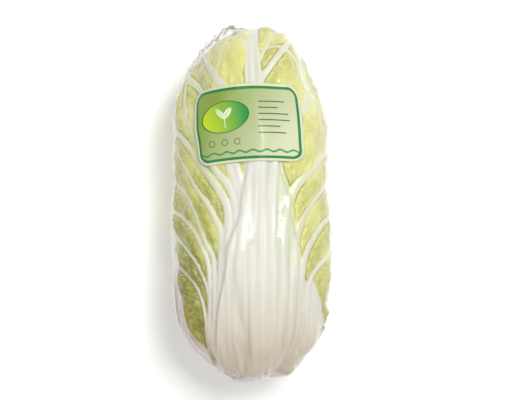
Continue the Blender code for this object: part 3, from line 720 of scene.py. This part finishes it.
sunk = calculate("MULTIPLY_ADD", ruck, -1.5, ramp(net, 0.0, 0.35, 0.0, 0.5))
pillow = times(sunk, calculate("SUBTRACT", 1.0, vein))
add("NodeGroupOutput", Colour=blend(specks, foot_browned_and_shaded, SPECK), Roughness=ramp(vein, 0.0, 1.0, 0.5, 0.36),
    Height=calculate("MULTIPLY_ADD", times(fibre, vein), 0.3, pillow))


def leaf_material(name, flesh, blade, green, foot):
    material, shader, add = new_material(name)
    look = add("ShaderNodeGroup", {"node_tree": leaf_look}, Flesh=flesh, Blade=blade, Green=green, Foot=foot)
    bump = add("ShaderNodeBump", Strength=0.55, Distance=0.4 * MM, Height=look.outputs["Height"])
    feed(shader, Base_Color=look.outputs["Colour"], Roughness=look.outputs["Roughness"],
         Normal=bump.outputs[0], Specular_IOR_Level=0.32, Subsurface_Weight=0.15,
         Subsurface_Radius=(1.0, 0.8, 0.3), Subsurface_Scale=3 * MM)
    return material


# The foot's warm brown, partly painted shade
FOOT_BEIGE_AND_SHADE = (0.87, 0.72, 0.58, 1)
outer_leaf = leaf_material("outer_leaf", (0.80, 0.80, 0.71, 1), (0.81, 0.80, 0.25, 1), (0.40, 0.40, 0.004, 1),
                           FOOT_BEIGE_AND_SHADE)
inner_leaf = leaf_material("inner_leaf", (0.78, 0.76, 0.56, 1), (0.70, 0.69, 0.22, 1), (0.48, 0.52, 0.06, 1),
                           FOOT_BEIGE_AND_SHADE)

QUILT, WRINKLE, WRINKLE_SIZE = 1.7 * MM, 1.5 * MM, 10 * MM
BRANCH_SPACING = 10.5 * MM
WHITE_BELOW, LEFT_WHITE_BELOW, RIGHT_WHITE_BELOW = 46 * MM, 30 * MM, 80 * MM
FOOT_FADE, FOOT_WIDENING = 22 * MM, 30 * MM
RIGHT_WHITE_RISE, RIGHT_BLADE_FROM, RIGHT_BLADE_WIDTH = 24 * MM, math.radians(58), math.radians(20)
FLUTE_SHARE = 0.3
# The frilled margin is a sum of waves, each with its reach as an angle and its length along the leaf. The
# first comes and goes with a longer wave.
FRILL_FINE, FRILL_FINEST, FRILL_LOBES = (0.022, 3.7 * MM), (0.014, 1.9 * MM), (0.03, 13 * MM)
FRILL_COMES_AND_GOES = 17 * MM
# The front leaf is wider here, at its lower right
BULGE, BULGE_AT, BULGE_LENGTH = 0.32, 82 * MM, 42 * MM
CLEAR_OF_LEAF_BELOW = 0.3 * MM
LEAST_RADIUS = 12 * MM
# A vein's branches leave it at a slant and waver
BRANCH_SLANT, BRANCH_WAVER, BRANCH_WAVES = 1.15, 0.22, (4.3 * MM, 5.1 * MM, 6 * MM)
# How much greener the blade is at its rim, low on the leaf and on the front leaf's left, and how much paler
# on its right. The last three also give the station below which they are full, and the length of their fade.
GREEN_GROUND, GREEN_RIM = -0.05, 0.3
GREEN_LOW = (0.55, 85 * MM, 110 * MM)
GREEN_LEFT = (0.5, 170 * MM, 70 * MM)
PALE_RIGHT = (0.3, 140 * MM, 60 * MM)
GROOVE_HEIGHT, GROOVE_FROM, GROOVE_FADE = 1.4 * MM, 35 * MM, 60 * MM


def below(station, much, full_at, fade):
    """This much below a station, and smoothly less above it."""
    return much * smoothstep((full_at + fade - station) / fade)


laid_points, laid_faces, laid_count = [], [], 0
for order, (node, side_veins, past_crown, size, (rows, columns)) in reversed(list(enumerate(LEAVES))):
    in_front = side_veins is None
    base = BASE_STATION + BASE_STEP * order
    azimuth = order * GOLDEN_ANGLE
    leaf_station = np.linspace(base, ARC - TIP_MARGIN, rows)[:, None] * np.ones(columns)
    share = np.linspace(-1, 1, columns)
    fine, finest, lobes = (reach * np.sin(leaf_station / length + order * turns) for (reach, length), turns in
                           ((FRILL_FINE, 1), (FRILL_FINEST, 3), (FRILL_LOBES, 1)))
    frill = fine * np.sin(leaf_station / FRILL_COMES_AND_GOES + 2 * order) + finest + lobes
    spread = share * (np.radians(from_table(OUTLINE, leaf_station)) * size + frill * np.abs(share)**6)
    if in_front:
        spread = spread * (1 + BULGE * (share > 0) * np.exp(-((leaf_station - BULGE_AT) / BULGE_LENGTH)**2))
    angle, station = folded(azimuth, past_crown, spread, leaf_station)

    # The leaf's underside follows the solid's, smoothed, and is lifted clear of the leaves below
    coarse = (rows // 4, columns // 4)
    coarse_station = np.linspace(base + MM, ARC - TIP_MARGIN - MM, coarse[0])[:, None] * np.ones(coarse[1])
    coarse_spread = np.linspace(-0.98, 0.98, coarse[1]) * np.radians(from_table(OUTLINE, coarse_station))
    coarse_place = folded(azimuth, past_crown, coarse_spread * size, coarse_station)
    under = heights_on(cad_tree(node), *coarse_place, inwards=False)
    height = resampled(smoothed(filled(under), 2), rows, columns)
    if laid_count:
        pile = tree_of(np.vstack(laid_points), np.vstack(laid_faces))
        needed = heights_on(pile, angle, station, inwards=True) + CLEAR_OF_LEAF_BELOW
        lift = np.maximum(np.nan_to_num(needed - height, nan=0.0), 0)
        height = smoothed(height + np.maximum(smoothed(lift, 4), lift), 2)

    # Its thickness: blade, stalk, and the veins that stand out of both
    feet, out = on_head(angle, station)
    lean = from_table(FRONT_LEAN, leaf_station) * MM if in_front else 0
    stalk_half = from_table(STALK_HALF_WIDTH, leaf_station) * MM * size
    from_stalk = np.abs(spread * radius_at(leaf_station) - lean) - stalk_half
    stalk = 1 - smoothstep((from_stalk + STALK_RIM) / STALK_RIM)
    raised, edge, next_edge, along = vein_field(feet, vein_lines(order, side_veins, past_crown, size))
    raised = raised * (1 + FLUTE_SHARE * stalk)
    thick = np.maximum(from_table(STALK_THICKNESS, leaf_station) * MM * size - BLADE, 0)
    thickness = BLADE + thick * stalk + raised
    outer, inner = (on_head(angle, station, at)[0] for at in (height + thickness, height))

    # What its material reads: its place on the unrolled leaf, its veins and branches, and where it is green.
    # The order is added so that no two leaves have the same pattern.
    unrolled = spread * np.maximum(radius_at(leaf_station), LEAST_RADIUS) + order
    near, far = np.maximum(edge, 0), np.maximum(next_edge, 0)
    middle = 2 * near / np.maximum(near + far, 0.1 * MM)
    white_below = WHITE_BELOW
    if in_front:
        by_stalk = 1 - np.clip((angle - RIGHT_BLADE_FROM) / RIGHT_BLADE_WIDTH, 0, 1)
        white_below = np.where(share > 0, RIGHT_WHITE_BELOW + RIGHT_WHITE_RISE * by_stalk, LEFT_WHITE_BELOW)
    foot = 1 - smoothstep((leaf_station - white_below) / FOOT_FADE)
    edge = np.minimum(edge, from_stalk) - FOOT_WIDENING * foot
    waves = (np.sin(unrolled / BRANCH_WAVES[0] + order)
             + np.sin(leaf_station / BRANCH_WAVES[1] + 1.6 * np.sin(unrolled / BRANCH_WAVES[2])))
    branch = (along + BRANCH_SLANT * near) / BRANCH_SPACING + BRANCH_WAVER * waves
    green = GREEN_GROUND + GREEN_RIM * np.abs(share)**4 + below(leaf_station, *GREEN_LOW)
    if in_front:
        green = green + (share < 0) * below(leaf_station, *GREEN_LEFT)
        green = green - (share > 0) * below(leaf_station, *PALE_RIGHT)
    groove_fade = smoothstep((leaf_station - GROOVE_FROM) / GROOVE_FADE)
    groove = stalk * (1 - np.clip(raised / GROOVE_HEIGHT, 0, 1)) * groove_fade
    made = slab_object(node, outer, inner, {
        "flat": np.stack([unrolled, leaf_station, 0 * spread], axis=-1), "outwards": out,
        "green": green, "groove": groove, "edge": edge / MM, "middle": middle, "branch": branch})
    finish = inner_leaf if node.startswith("inner") or node == "back_leaf" else outer_leaf
    leaf = run_nodes(made, blister, f"{node}_grown", Material=finish,
                     **{"Quilt": QUILT, "Wrinkle": WRINKLE, "Wrinkle Size": WRINKLE_SIZE})
    laid_points.append(points_of(leaf)[:rows * columns])
    laid_faces.append(faces_of(grid_index(rows, columns, laid_count)))
    laid_count += rows * columns
    draw_in(leaf)
    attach(leaf, "root")
    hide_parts(node)

# The heart: the many small leaves packed inside, which only show as a pale form deep between the others. It
# is the solid itself, in the colour of blanched leaves.
HEART_SHADE, HEART_PALE = (0.62, 0.60, 0.22, 1), (0.80, 0.78, 0.45, 1)
HEART_FOLD_SCALE = 60.0

material, shader, add = new_material("heart")
fold = noise(add("ShaderNodeTexCoord").outputs["Object"], HEART_FOLD_SCALE, 4.0)
feed(shader, Base_Color=blend(fold, HEART_SHADE, HEART_PALE), Roughness=0.5,
     Normal=raised_by(fold, 0.7, 1 * MM))
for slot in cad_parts["heart"].material_slots:
    slot.material = material

# The film: one sheet of clear wrap drawn tight over the ridges, gathered in pleats under the stem, with a
# crumpled tail that stands off the head's upper left shoulder. It holds by clinging to itself.
FILM_THICKNESS = 0.25 * MM
FILM_GRID = (200, 216)
FILM_MOUTH, FILM_TIP = 5 * MM, 0.4 * MM
FILM_GAP = 0.5 * MM
FILM_ROUNDS, FILM_TIGHTENING = 260, 0.04 * MM
FILM_FLOOR = 0.3 * MM
FLOOR_CLEARANCE, SETTLE_BELOW = 0.1 * MM, 12 * MM
PLEATS, PLEAT_GROUPS = 23, 9
PLEAT_HEIGHT, MORE_AT_LOWER_LEFT = 1.2 * MM, 1.3 * MM
LOWER_LEFT_AT, LOWER_LEFT_REACH = -0.8, 0.7
PLEATS_TO, PLEATS_FADE = 12 * MM, 45 * MM
SIDE_SLACK, SIDE_SLACK_FADE, SLACK_BELOW_CROWN = 1.6 * MM, 60 * MM, 40 * MM
# The tail's line over the head, in mm from the axis and from mid-length, and how high it stands there
TAIL = [(-62, 96), (-56, 110), (-46, 124), (-33, 136), (-21, 142), (-11, 144)]
TAIL_HEIGHTS = [1, 4, 5, 7, 7.5, 1.5]
TAIL_POINTS, TAIL_HALF_WIDTH = 40, 6 * MM
TAIL_CRINKLE, TAIL_CRINKLE_LENGTH, TAIL_CRINKLES_ROUND = 0.35, 2.3 * MM, 31
# Where it is crumpled: how much, at which angle and station, and its reach in both
CRUMPLED_SHOULDER = (0.62, -0.75, 300 * MM, 0.5, 45 * MM)
CRUMPLED_LOW_LEFT = (0.6, -0.6, 58 * MM, 0.36, 34 * MM)
CRUMPLED_ALL_OVER = 0.07
FULLY_CRUMPLED_TAIL = 2.5 * MM
FILM_CLEAR, FILM_GREY = (0.985, 0.985, 0.99, 1), (0.93, 0.91, 0.93, 1)
FILM_CREASE = 1.6 * MM
CREASE_SCALES, FINE_CREASE_SCALE, RIPPLE_SCALES = (95.0, 34.0, 95.0), 210.0, (150.0, 420.0, 150.0)

pile = tree_of(np.vstack(laid_points), np.vstack(laid_faces))
rows, columns = FILM_GRID
film_station = np.linspace(FILM_MOUTH, ARC - FILM_TIP, rows)[:, None] * np.ones(columns)
film_angle = np.linspace(-math.pi, math.pi, columns) * np.ones((rows, 1))
leaf_height = filled(heights_on(pile, film_angle, film_station, inwards=True))
leaf_height[:, -1] = leaf_height[:, 0]
height = leaf_height + FILM_GAP
for _ in range(FILM_ROUNDS):
    mean = neighbours(height, closed=True) / 4
    height = np.maximum(leaf_height + FILM_GAP, mean - FILM_TIGHTENING)
height = smoothed(height, 1, closed=True)

pleat = np.sin(film_angle * PLEATS + 1.3 * np.sin(film_angle * 5)) * np.cos(film_angle * PLEAT_GROUPS + 0.6)
near_mouth = 1 - smoothstep((film_station - PLEATS_TO) / PLEATS_FADE)
lower_left = np.exp(-((film_angle - LOWER_LEFT_AT) / LOWER_LEFT_REACH)**2)
height = height + (PLEAT_HEIGHT + MORE_AT_LOWER_LEFT * lower_left) * near_mouth * (pleat + 0.6)
feet, out = on_head(film_angle, film_station, height)
tail_line = curve_through(TAIL, TAIL_POINTS) * MM
tail_points = on_head(*seen_at(tail_line[:, 0], tail_line[:, 1]))[0]
along_tail = np.linspace(0, len(TAIL) - 1, TAIL_POINTS)
tail_heights = np.interp(along_tail, range(len(TAIL)), TAIL_HEIGHTS) * MM
raised = vein_field(feet, [(tail_points, np.full(TAIL_POINTS, TAIL_HALF_WIDTH), tail_heights)])[0]
crinkle = np.sin(film_station / TAIL_CRINKLE_LENGTH) * np.cos(film_angle * TAIL_CRINKLES_ROUND)
height = height + raised * (1 + TAIL_CRINKLE * crinkle)
slack_ends = (smoothstep((film_station - SIDE_SLACK_FADE) / SIDE_SLACK_FADE)
              * smoothstep((ARC - SLACK_BELOW_CROWN - film_station) / SIDE_SLACK_FADE))
height = height + SIDE_SLACK * np.abs(np.sin(film_angle))**6 * slack_ends
outer, out = on_head(film_angle, film_station, height)
outer[..., 2] = np.maximum(outer[..., 2], FILM_FLOOR + FILM_THICKNESS)
outer[-1] = outer[-1].mean(axis=0)
inner = outer - out * FILM_THICKNESS
inner[..., 2] = np.maximum(inner[..., 2], FILM_FLOOR)


def crumpled_zone(much, at_angle, at_station, wide, length):
    return much * np.exp(-((film_angle - at_angle) / wide)**2 - ((film_station - at_station) / length)**2)


# How crumpled it is at each point: most in the tail, then the shoulder, the lower left and the pleats
near_tail = np.clip(raised / FULLY_CRUMPLED_TAIL, 0, 1)
crumple = (CRUMPLED_ALL_OVER + near_tail + crumpled_zone(*CRUMPLED_SHOULDER)
           + crumpled_zone(*CRUMPLED_LOW_LEFT) + near_mouth * (0.2 + 0.6 * lower_left))
crumple = np.clip(crumple, 0, 1)
crumple[-6:] *= np.linspace(1, 0, 6)[:, None]

film_tree, add, given = new_tree("crinkled_film", "Geometry", {
    "Geometry": "Geometry", "Crease": "Float", "Material": "Material"}, {"Geometry": "Geometry"})
place = add("GeometryNodeInputPosition").outputs[0]
creases = ridges(vector("MULTIPLY", place, CREASE_SCALES), 1.0, 3.0, 0.0)
creased = calculate("MULTIPLY_ADD", ridges(place, FINE_CREASE_SCALE, 2.0, 0.0), 0.35, creases)
end_pushed_out(times(creased, given_at("crumple"), given.outputs["Crease"]))

material, shader, add = new_material("film")
crumpled = carried("crumple")
hazy = add("ShaderNodeMapRange", Value=crumpled, From_Min=0.1, From_Max=1.0, To_Min=0.05, To_Max=0.2)
place = add("ShaderNodeTexCoord").outputs["Object"]
ripple = ridges(vector("MULTIPLY", place, RIPPLE_SCALES), 1.0, 2.0, 0.0)
feed(shader, Base_Color=blend(crumpled, FILM_CLEAR, FILM_GREY), Roughness=hazy.outputs[0], IOR=1.28,
     Transmission_Weight=0.985, Normal=raised_by(times(ripple, crumpled), 0.9, 0.9 * MM))
light_path = add("ShaderNodeLightPath").outputs
clear = add("ShaderNodeBsdfTransparent", Color=(0.97, 0.97, 0.98, 1)).outputs[0]
lit = add("ShaderNodeMixShader", _0=light_path["Is Diffuse Ray"], _1=shader.outputs[0], _2=clear).outputs[0]
mixed = add("ShaderNodeMixShader", _0=light_path["Is Shadow Ray"], _1=lit, _2=clear).outputs[0]
feed(material.node_tree.nodes["Material Output"], Surface=mixed)

index = grid_index(rows, columns)
index[:, -1] = index[:, 0]
count = rows * columns
mouth = index[0]
rim = np.stack([mouth[:-1], mouth[:-1] + count, mouth[1:] + count, mouth[1:]], axis=-1)
film_faces = faces_of(index)
film = two_sided("film", outer, inner, np.vstack([film_faces, faces_of(index + count, turned=True), rim]),
                 {"crumple": crumple, "outwards": out})
film.data.validate()
film = run_nodes(film, film_tree, "film_wrapped", Crease=FILM_CREASE, Material=material)
film_skin = tree_of(points_of(film), film_faces)
draw_in(film)
settled = points_of(film)
drop = settled[:, 2].min() - FLOOR_CLEARANCE
settled[:, 2] -= drop * (1 - smoothstep(settled[:, 2] / SETTLE_BELOW))
move_to(film, settled)
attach(film, "root")
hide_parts("film_wrap")

# The label: coated paper, printed and die-cut with round corners, and stuck on the film by hand
LABEL_SIZE = (93 * MM, 64 * MM)
LABEL_CORNER = 11 * MM
# Its middle is given as an angle round the head and a station. Its ends droop, and its top edge is wider.
LABEL_CENTRE = (math.radians(-3.2), 252.5 * MM)
LABEL_TILT = math.radians(2.9)
LABEL_DROOP = 1.5
LABEL_FLARE = 0.13
LABEL_THICKNESS = 0.2 * MM
LABEL_GRID = (66, 94)
LABEL_CLEARANCE, LABEL_LEAST, LABEL_LIFT = 0.05 * MM, 0.04 * MM, 0.08 * MM
LABEL_ROUNDS, LABEL_TIGHTENING = 500, 0.0015 * MM

rows, columns = LABEL_GRID
across, along = np.meshgrid(np.linspace(-1, 1, columns), np.linspace(-1, 1, rows))
half = np.array(LABEL_SIZE) / 2
ring = np.maximum(np.maximum(np.abs(across), np.abs(along)), 1e-9)
edge_x, edge_y = across * half[0] / ring, along * half[1] / ring
past_x = np.maximum(np.abs(edge_x) - (half[0] - LABEL_CORNER), 0)
past_y = np.maximum(np.abs(edge_y) - (half[1] - LABEL_CORNER), 0)
pull = np.where((past_x > 0) & (past_y > 0),
                np.minimum(LABEL_CORNER / np.maximum(np.hypot(past_x, past_y), 1e-9), 1), 1)
label_x = np.sign(edge_x) * (np.minimum(np.abs(edge_x), half[0] - LABEL_CORNER) + past_x * pull) * ring
label_y = np.sign(edge_y) * (np.minimum(np.abs(edge_y), half[1] - LABEL_CORNER) + past_y * pull) * ring
turned_x = label_x * math.cos(LABEL_TILT) - label_y * math.sin(LABEL_TILT)
turned_y = label_x * math.sin(LABEL_TILT) + label_y * math.cos(LABEL_TILT)
label_station = LABEL_CENTRE[1] + turned_y - LABEL_DROOP * turned_x**2
flare = 1 + LABEL_FLARE * smoothstep((turned_y / half[1] + 0.7) / 1.7)
label_angle = LABEL_CENTRE[0] + turned_x * flare / radius_at(label_station)

# It is laid over the film like a sheet that spans the dips, then smoothed, and lifted where the film's ridges
# would come through
taken = filled(heights_on(film_skin, label_angle, label_station, inwards=True))
height = taken + LABEL_CLEARANCE
for _ in range(LABEL_ROUNDS):
    height = np.maximum(taken + LABEL_CLEARANCE, smoothed(height, 1) - LABEL_TIGHTENING)
for _ in range(5):
    height = smoothed(height, 8)
    height = height + 1.5 * smoothed(np.maximum(taken + LABEL_CLEARANCE - height, 0), 3)
height = np.maximum(height, taken + LABEL_LEAST) + LABEL_LIFT
outer, inner = (on_head(label_angle, label_station, at)[0] for at in (height + LABEL_THICKNESS, height))
label = slab_object("label_cut", outer, inner,
                    {"print": np.stack([label_x / MM, label_y / MM, 0 * label_x], axis=-1)})

# The print, in mm from the label's middle: a ground that goes from leaf green to pale, with a fine grain
PRINT_DARK, PRINT_PALE = (0.015, 0.10, 0.045, 1), (0.78, 0.84, 0.62, 1)
GROUND_GREEN, GROUND_PALE = (0.24, 0.36, 0.05, 1), (0.62, 0.66, 0.44, 1)
GROUND_SLOPE = (0.0125, -0.009, 0.0)

material, shader, add = new_material("label_paper")
at = carried("print", "Vector")
across_print, up_print, _ = add("ShaderNodeSeparateXYZ", Vector=at).outputs


def length_of(value):
    return add("ShaderNodeVectorMath", {"operation": "LENGTH"}, _0=value).outputs["Value"]


def distance_from(x, y, stretch=1.0, lean=0.0):
    """The print's distance from a point, in mm, in a frame that may be stretched across and turned."""
    moved = vector("SUBTRACT", at, (x, y, 0.0))
    turned = add("ShaderNodeVectorRotate", {"rotation_type": "Z_AXIS"}, Vector=moved, Angle=-lean).outputs[0]
    return length_of(vector("MULTIPLY", turned, (1.0, stretch, 1.0))), turned


def away_from(value, middle):
    return calculate("ABSOLUTE", calculate("SUBTRACT", value, middle))


def within(distance, limit, soft=0.15):
    """1 within the limit and 0 beyond it, with a printed edge of this softness in mm."""
    return calculate("MULTIPLY_ADD", calculate("SUBTRACT", limit, distance), 0.5 / soft, 0.5, clamp=True)


slope = add("ShaderNodeVectorMath", {"operation": "DOT_PRODUCT"}, _0=at, _1=GROUND_SLOPE).outputs["Value"]
ground = blend(calculate("ADD", slope, 0.5, clamp=True), GROUND_GREEN, GROUND_PALE)
print_colour = scaled(ground, calculate("MULTIPLY_ADD", noise(at, 2.6, 2.0), 0.5, 0.75))

# A plain oval with a two-leaved sprig on it
BADGE_X, BADGE_Y, BADGE_LEAN, BADGE_STRETCH = -19.0, 6.0, math.radians(8), 1.55
BADGE_RADIUS, BADGE_RIM = 19.2, 1.1
BADGE_YELLOW, BADGE_GREEN, BADGE_EDGE = (0.50, 0.70, 0.01, 1), (0.01, 0.28, 0.06, 1), (0.01, 0.16, 0.04, 1)
SPRIG_REACH, SPRIG_LEAN, SPRIG_CURVE, SPRIG_CURVE_AWAY, SPRIG_VEIN = 4.6, 38, 9.8, 7.6, 0.22
SPRIG_STEM_HALF, SPRIG_STEM_DOWN, SPRIG_STEM_REACH = 0.35, 5.0, 4.2

around, in_badge = distance_from(BADGE_X, BADGE_Y, BADGE_STRETCH, BADGE_LEAN)
across_badge = add("ShaderNodeSeparateXYZ", Vector=in_badge).outputs[0]
badge_share = calculate("MULTIPLY_ADD", across_badge, 0.03, 0.5, clamp=True)
badge_colour = blend(badge_share, BADGE_YELLOW, BADGE_GREEN)
print_colour = blend(within(around, BADGE_RADIUS + BADGE_RIM), print_colour, BADGE_EDGE)
print_colour = blend(within(around, BADGE_RADIUS), print_colour, badge_colour)
for side in (-1, 1):
    lean = math.radians(90 - SPRIG_LEAN * side)
    tip_x, tip_y = BADGE_X + SPRIG_REACH * math.cos(lean), BADGE_Y - 1.0 + SPRIG_REACH * math.sin(lean)
    curves = [distance_from(tip_x + SPRIG_CURVE_AWAY * k * math.sin(lean),
                            tip_y - SPRIG_CURVE_AWAY * k * math.cos(lean))[0] for k in (-1, 1)]
    in_leaf = within(calculate("MAXIMUM", *curves), SPRIG_CURVE)
    off_vein = add("ShaderNodeSeparateXYZ", Vector=distance_from(tip_x, tip_y, 1.0, lean)[1]).outputs[1]
    on_vein = within(calculate("ABSOLUTE", off_vein), SPRIG_VEIN)
    print_colour = blend(times(in_leaf, calculate("SUBTRACT", 1.0, on_vein)), print_colour, PRINT_PALE)
sprig_stem = times(within(away_from(across_print, BADGE_X), SPRIG_STEM_HALF),
                   within(away_from(up_print, BADGE_Y - SPRIG_STEM_DOWN), SPRIG_STEM_REACH))
print_colour = blend(sprig_stem, print_colour, PRINT_PALE)

# Ruled lines of different lengths at the right, for whoever packs the head to fill in
RULE_SPACING, RULE_LEFT, RULES_FROM, RULE_HALF = 5.2, 8.0, -11.5, 0.45
RULE_LENGTH, RULE_LENGTH_SPARE = 17.0, 12.0
MIDDLE_RULE, RULES_REACH = 2.5, 2.8
row_of = calculate("FLOOR", calculate("DIVIDE", calculate("ADD", up_print, -RULES_FROM), RULE_SPACING))
above_first = calculate("SUBTRACT", up_print, RULES_FROM + RULE_SPACING / 2)
from_rule = away_from(above_first, times(row_of, RULE_SPACING))
chance = add("ShaderNodeTexWhiteNoise", {"noise_dimensions": "1D"}, W=row_of).outputs[0]
past_left = calculate("SUBTRACT", across_print, RULE_LEFT)
on_rule = times(within(from_rule, RULE_HALF),
                within(past_left, calculate("MULTIPLY_ADD", chance, RULE_LENGTH_SPARE, RULE_LENGTH)),
                calculate("GREATER_THAN", past_left, 0.0),
                within(away_from(row_of, MIDDLE_RULE), RULES_REACH))
print_colour = blend(on_rule, print_colour, PRINT_DARK)

# Three rings in a row at the lower left, a wavy band along the foot, and a border inside a pale margin
RING_X, RING_Y, RING_SPACING, RING_RADIUS, RING_HALF = -32.0, -15.0, 11.0, 2.4, 0.28
WAVE_Y, WAVE_RATE, WAVE_HEIGHT, WAVE_HALF = -23.5, 0.55, 0.9, 0.8
BORDER_IN, BORDER_HALF, MARGIN = 3.3, 1.15, 2.2
WAVE_GREEN, BORDER_GREEN, MARGIN_PALE = (0.03, 0.30, 0.07, 1), (0.015, 0.20, 0.05, 1), (0.66, 0.72, 0.48, 1)

for k in range(3):
    ring_gap = away_from(distance_from(RING_X + RING_SPACING * k, RING_Y)[0], RING_RADIUS)
    print_colour = blend(within(ring_gap, RING_HALF), print_colour, PRINT_DARK)
wave = times(calculate("SINE", times(across_print, WAVE_RATE)), WAVE_HEIGHT)
from_wave = away_from(calculate("SUBTRACT", up_print, WAVE_Y), wave)
print_colour = blend(within(from_wave, WAVE_HALF), print_colour, WAVE_GREEN)
corner = LABEL_CORNER / MM
past_corner = vector("SUBTRACT", vector("ABSOLUTE", at), (half[0] / MM - corner, half[1] / MM - corner, 0.0))
to_edge = calculate("SUBTRACT", corner, length_of(vector("MAXIMUM", past_corner, (0.0, 0.0, 0.0))))
print_colour = blend(calculate("COMPARE", to_edge, BORDER_IN, BORDER_HALF), print_colour, BORDER_GREEN)
print_colour = blend(calculate("LESS_THAN", to_edge, MARGIN), print_colour, MARGIN_PALE)
feed(shader, Base_Color=print_colour, Roughness=0.42)
label.data.materials.append(material)

# Its back is bare paper
PAPER_GREY, PAPER_WHITE = (0.70, 0.70, 0.66, 1), (0.80, 0.80, 0.76, 1)
PAPER_FLECK_SCALE = 900.0

material, shader, add = new_material("label_back")
fleck = noise(add("ShaderNodeTexCoord").outputs["Object"], PAPER_FLECK_SCALE, 2.0)
feed(shader, Base_Color=blend(fleck, PAPER_GREY, PAPER_WHITE), Roughness=0.7)
label.data.materials.append(material)
printed_faces = (rows - 1) * (columns - 1)
for polygon in label.data.polygons[printed_faces:]:
    polygon.material_index = 1
label.data.shade_smooth()
draw_in(label)
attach(label, "root")
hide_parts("label")

# The studio: a pale floor and surround, a soft light above the crown and to the right, a narrow one beside it
# for the shine down the stalk, and a weak one from the left
FLOOR_HALF = 3.0
FLOOR_WHITE, FLOOR_GLOW = (0.95, 0.95, 0.95, 1), 0.22
# The surround's strength as light, and as the camera sees it
SURROUND_LIGHT, SURROUND_SEEN = 0.42, 1.0
LIT_POINT = Vector((0, 0, 0.06))
# Each light's name, place, size, power and tint, in metres and watts
LIGHTS = [
    ("key", (0.33, 0.32, 1.2), (0.4, 0.4), 10.2, (1.0, 0.985, 0.95)),
    ("fill", (-0.9, -0.1, 0.9), (0.6, 0.6), 1.5, (1.0, 0.98, 0.96)),
    ("strip", (0.44, 0.06, 1.25), (0.04, 0.16), 0.32, (0.93, 0.96, 1.0)),
]

floor_mesh = bpy.data.meshes.new("floor")
floor_mesh.from_pydata([(FLOOR_HALF * x, FLOOR_HALF * y, 0) for x, y in ((-1, -1), (1, -1), (1, 1), (-1, 1))],
                       [], [(0, 1, 2, 3)])
floor = placed("floor", floor_mesh)
material, shader, add = new_material("floor")
feed(shader, Base_Color=FLOOR_WHITE, Roughness=0.9, Emission_Color=(1, 1, 1, 1), Emission_Strength=FLOOR_GLOW)
floor_mesh.materials.append(material)

world = bpy.context.scene.world or bpy.data.worlds.new("studio")
bpy.context.scene.world = world
world.use_nodes = True
add = node_adder(world.node_tree)
seen_share = add("ShaderNodeLightPath").outputs["Is Camera Ray"]
glow = add("ShaderNodeMapRange", Value=seen_share, To_Min=SURROUND_LIGHT, To_Max=SURROUND_SEEN)
feed(world.node_tree.nodes["Background"], Color=(1, 1, 1, 1), Strength=glow.outputs[0])

for name, place, size, power, tint in LIGHTS:
    light = bpy.data.lights.new(name, "AREA")
    light.shape = "RECTANGLE"
    light.size, light.size_y = size
    light.energy = power
    light.color = tint
    lamp = placed(name, light)
    lamp.location = place
    lamp.rotation_mode = "QUATERNION"
    lamp.rotation_quaternion = (LIT_POINT - Vector(place)).to_track_quat("-Z", "Y")
bpy.context.scene.view_settings.view_transform = "Standard"

# The camera looks straight down, as the photo's does. SCALE is the size of a pixel at the head's mid-height.
CAMERA_DISTANCE, MID_HEIGHT = 1.3, 55 * MM
SCALE = 0.852 * MM
PHOTO_WIDTH, SENSOR_WIDTH = 512, 36
PHOTO_MIDDLE, OBJECT_MIDDLE = (256, 200), (251, 203)

camera_data = bpy.data.cameras.new("camera")
camera_data.sensor_width = SENSOR_WIDTH
camera_data.lens = SENSOR_WIDTH * CAMERA_DISTANCE / (PHOTO_WIDTH * SCALE)
camera = placed("camera", camera_data)
camera.location = ((PHOTO_MIDDLE[0] - OBJECT_MIDDLE[0]) * SCALE, (OBJECT_MIDDLE[1] - PHOTO_MIDDLE[1]) * SCALE,
                   MID_HEIGHT + CAMERA_DISTANCE)
bpy.context.scene.camera = camera
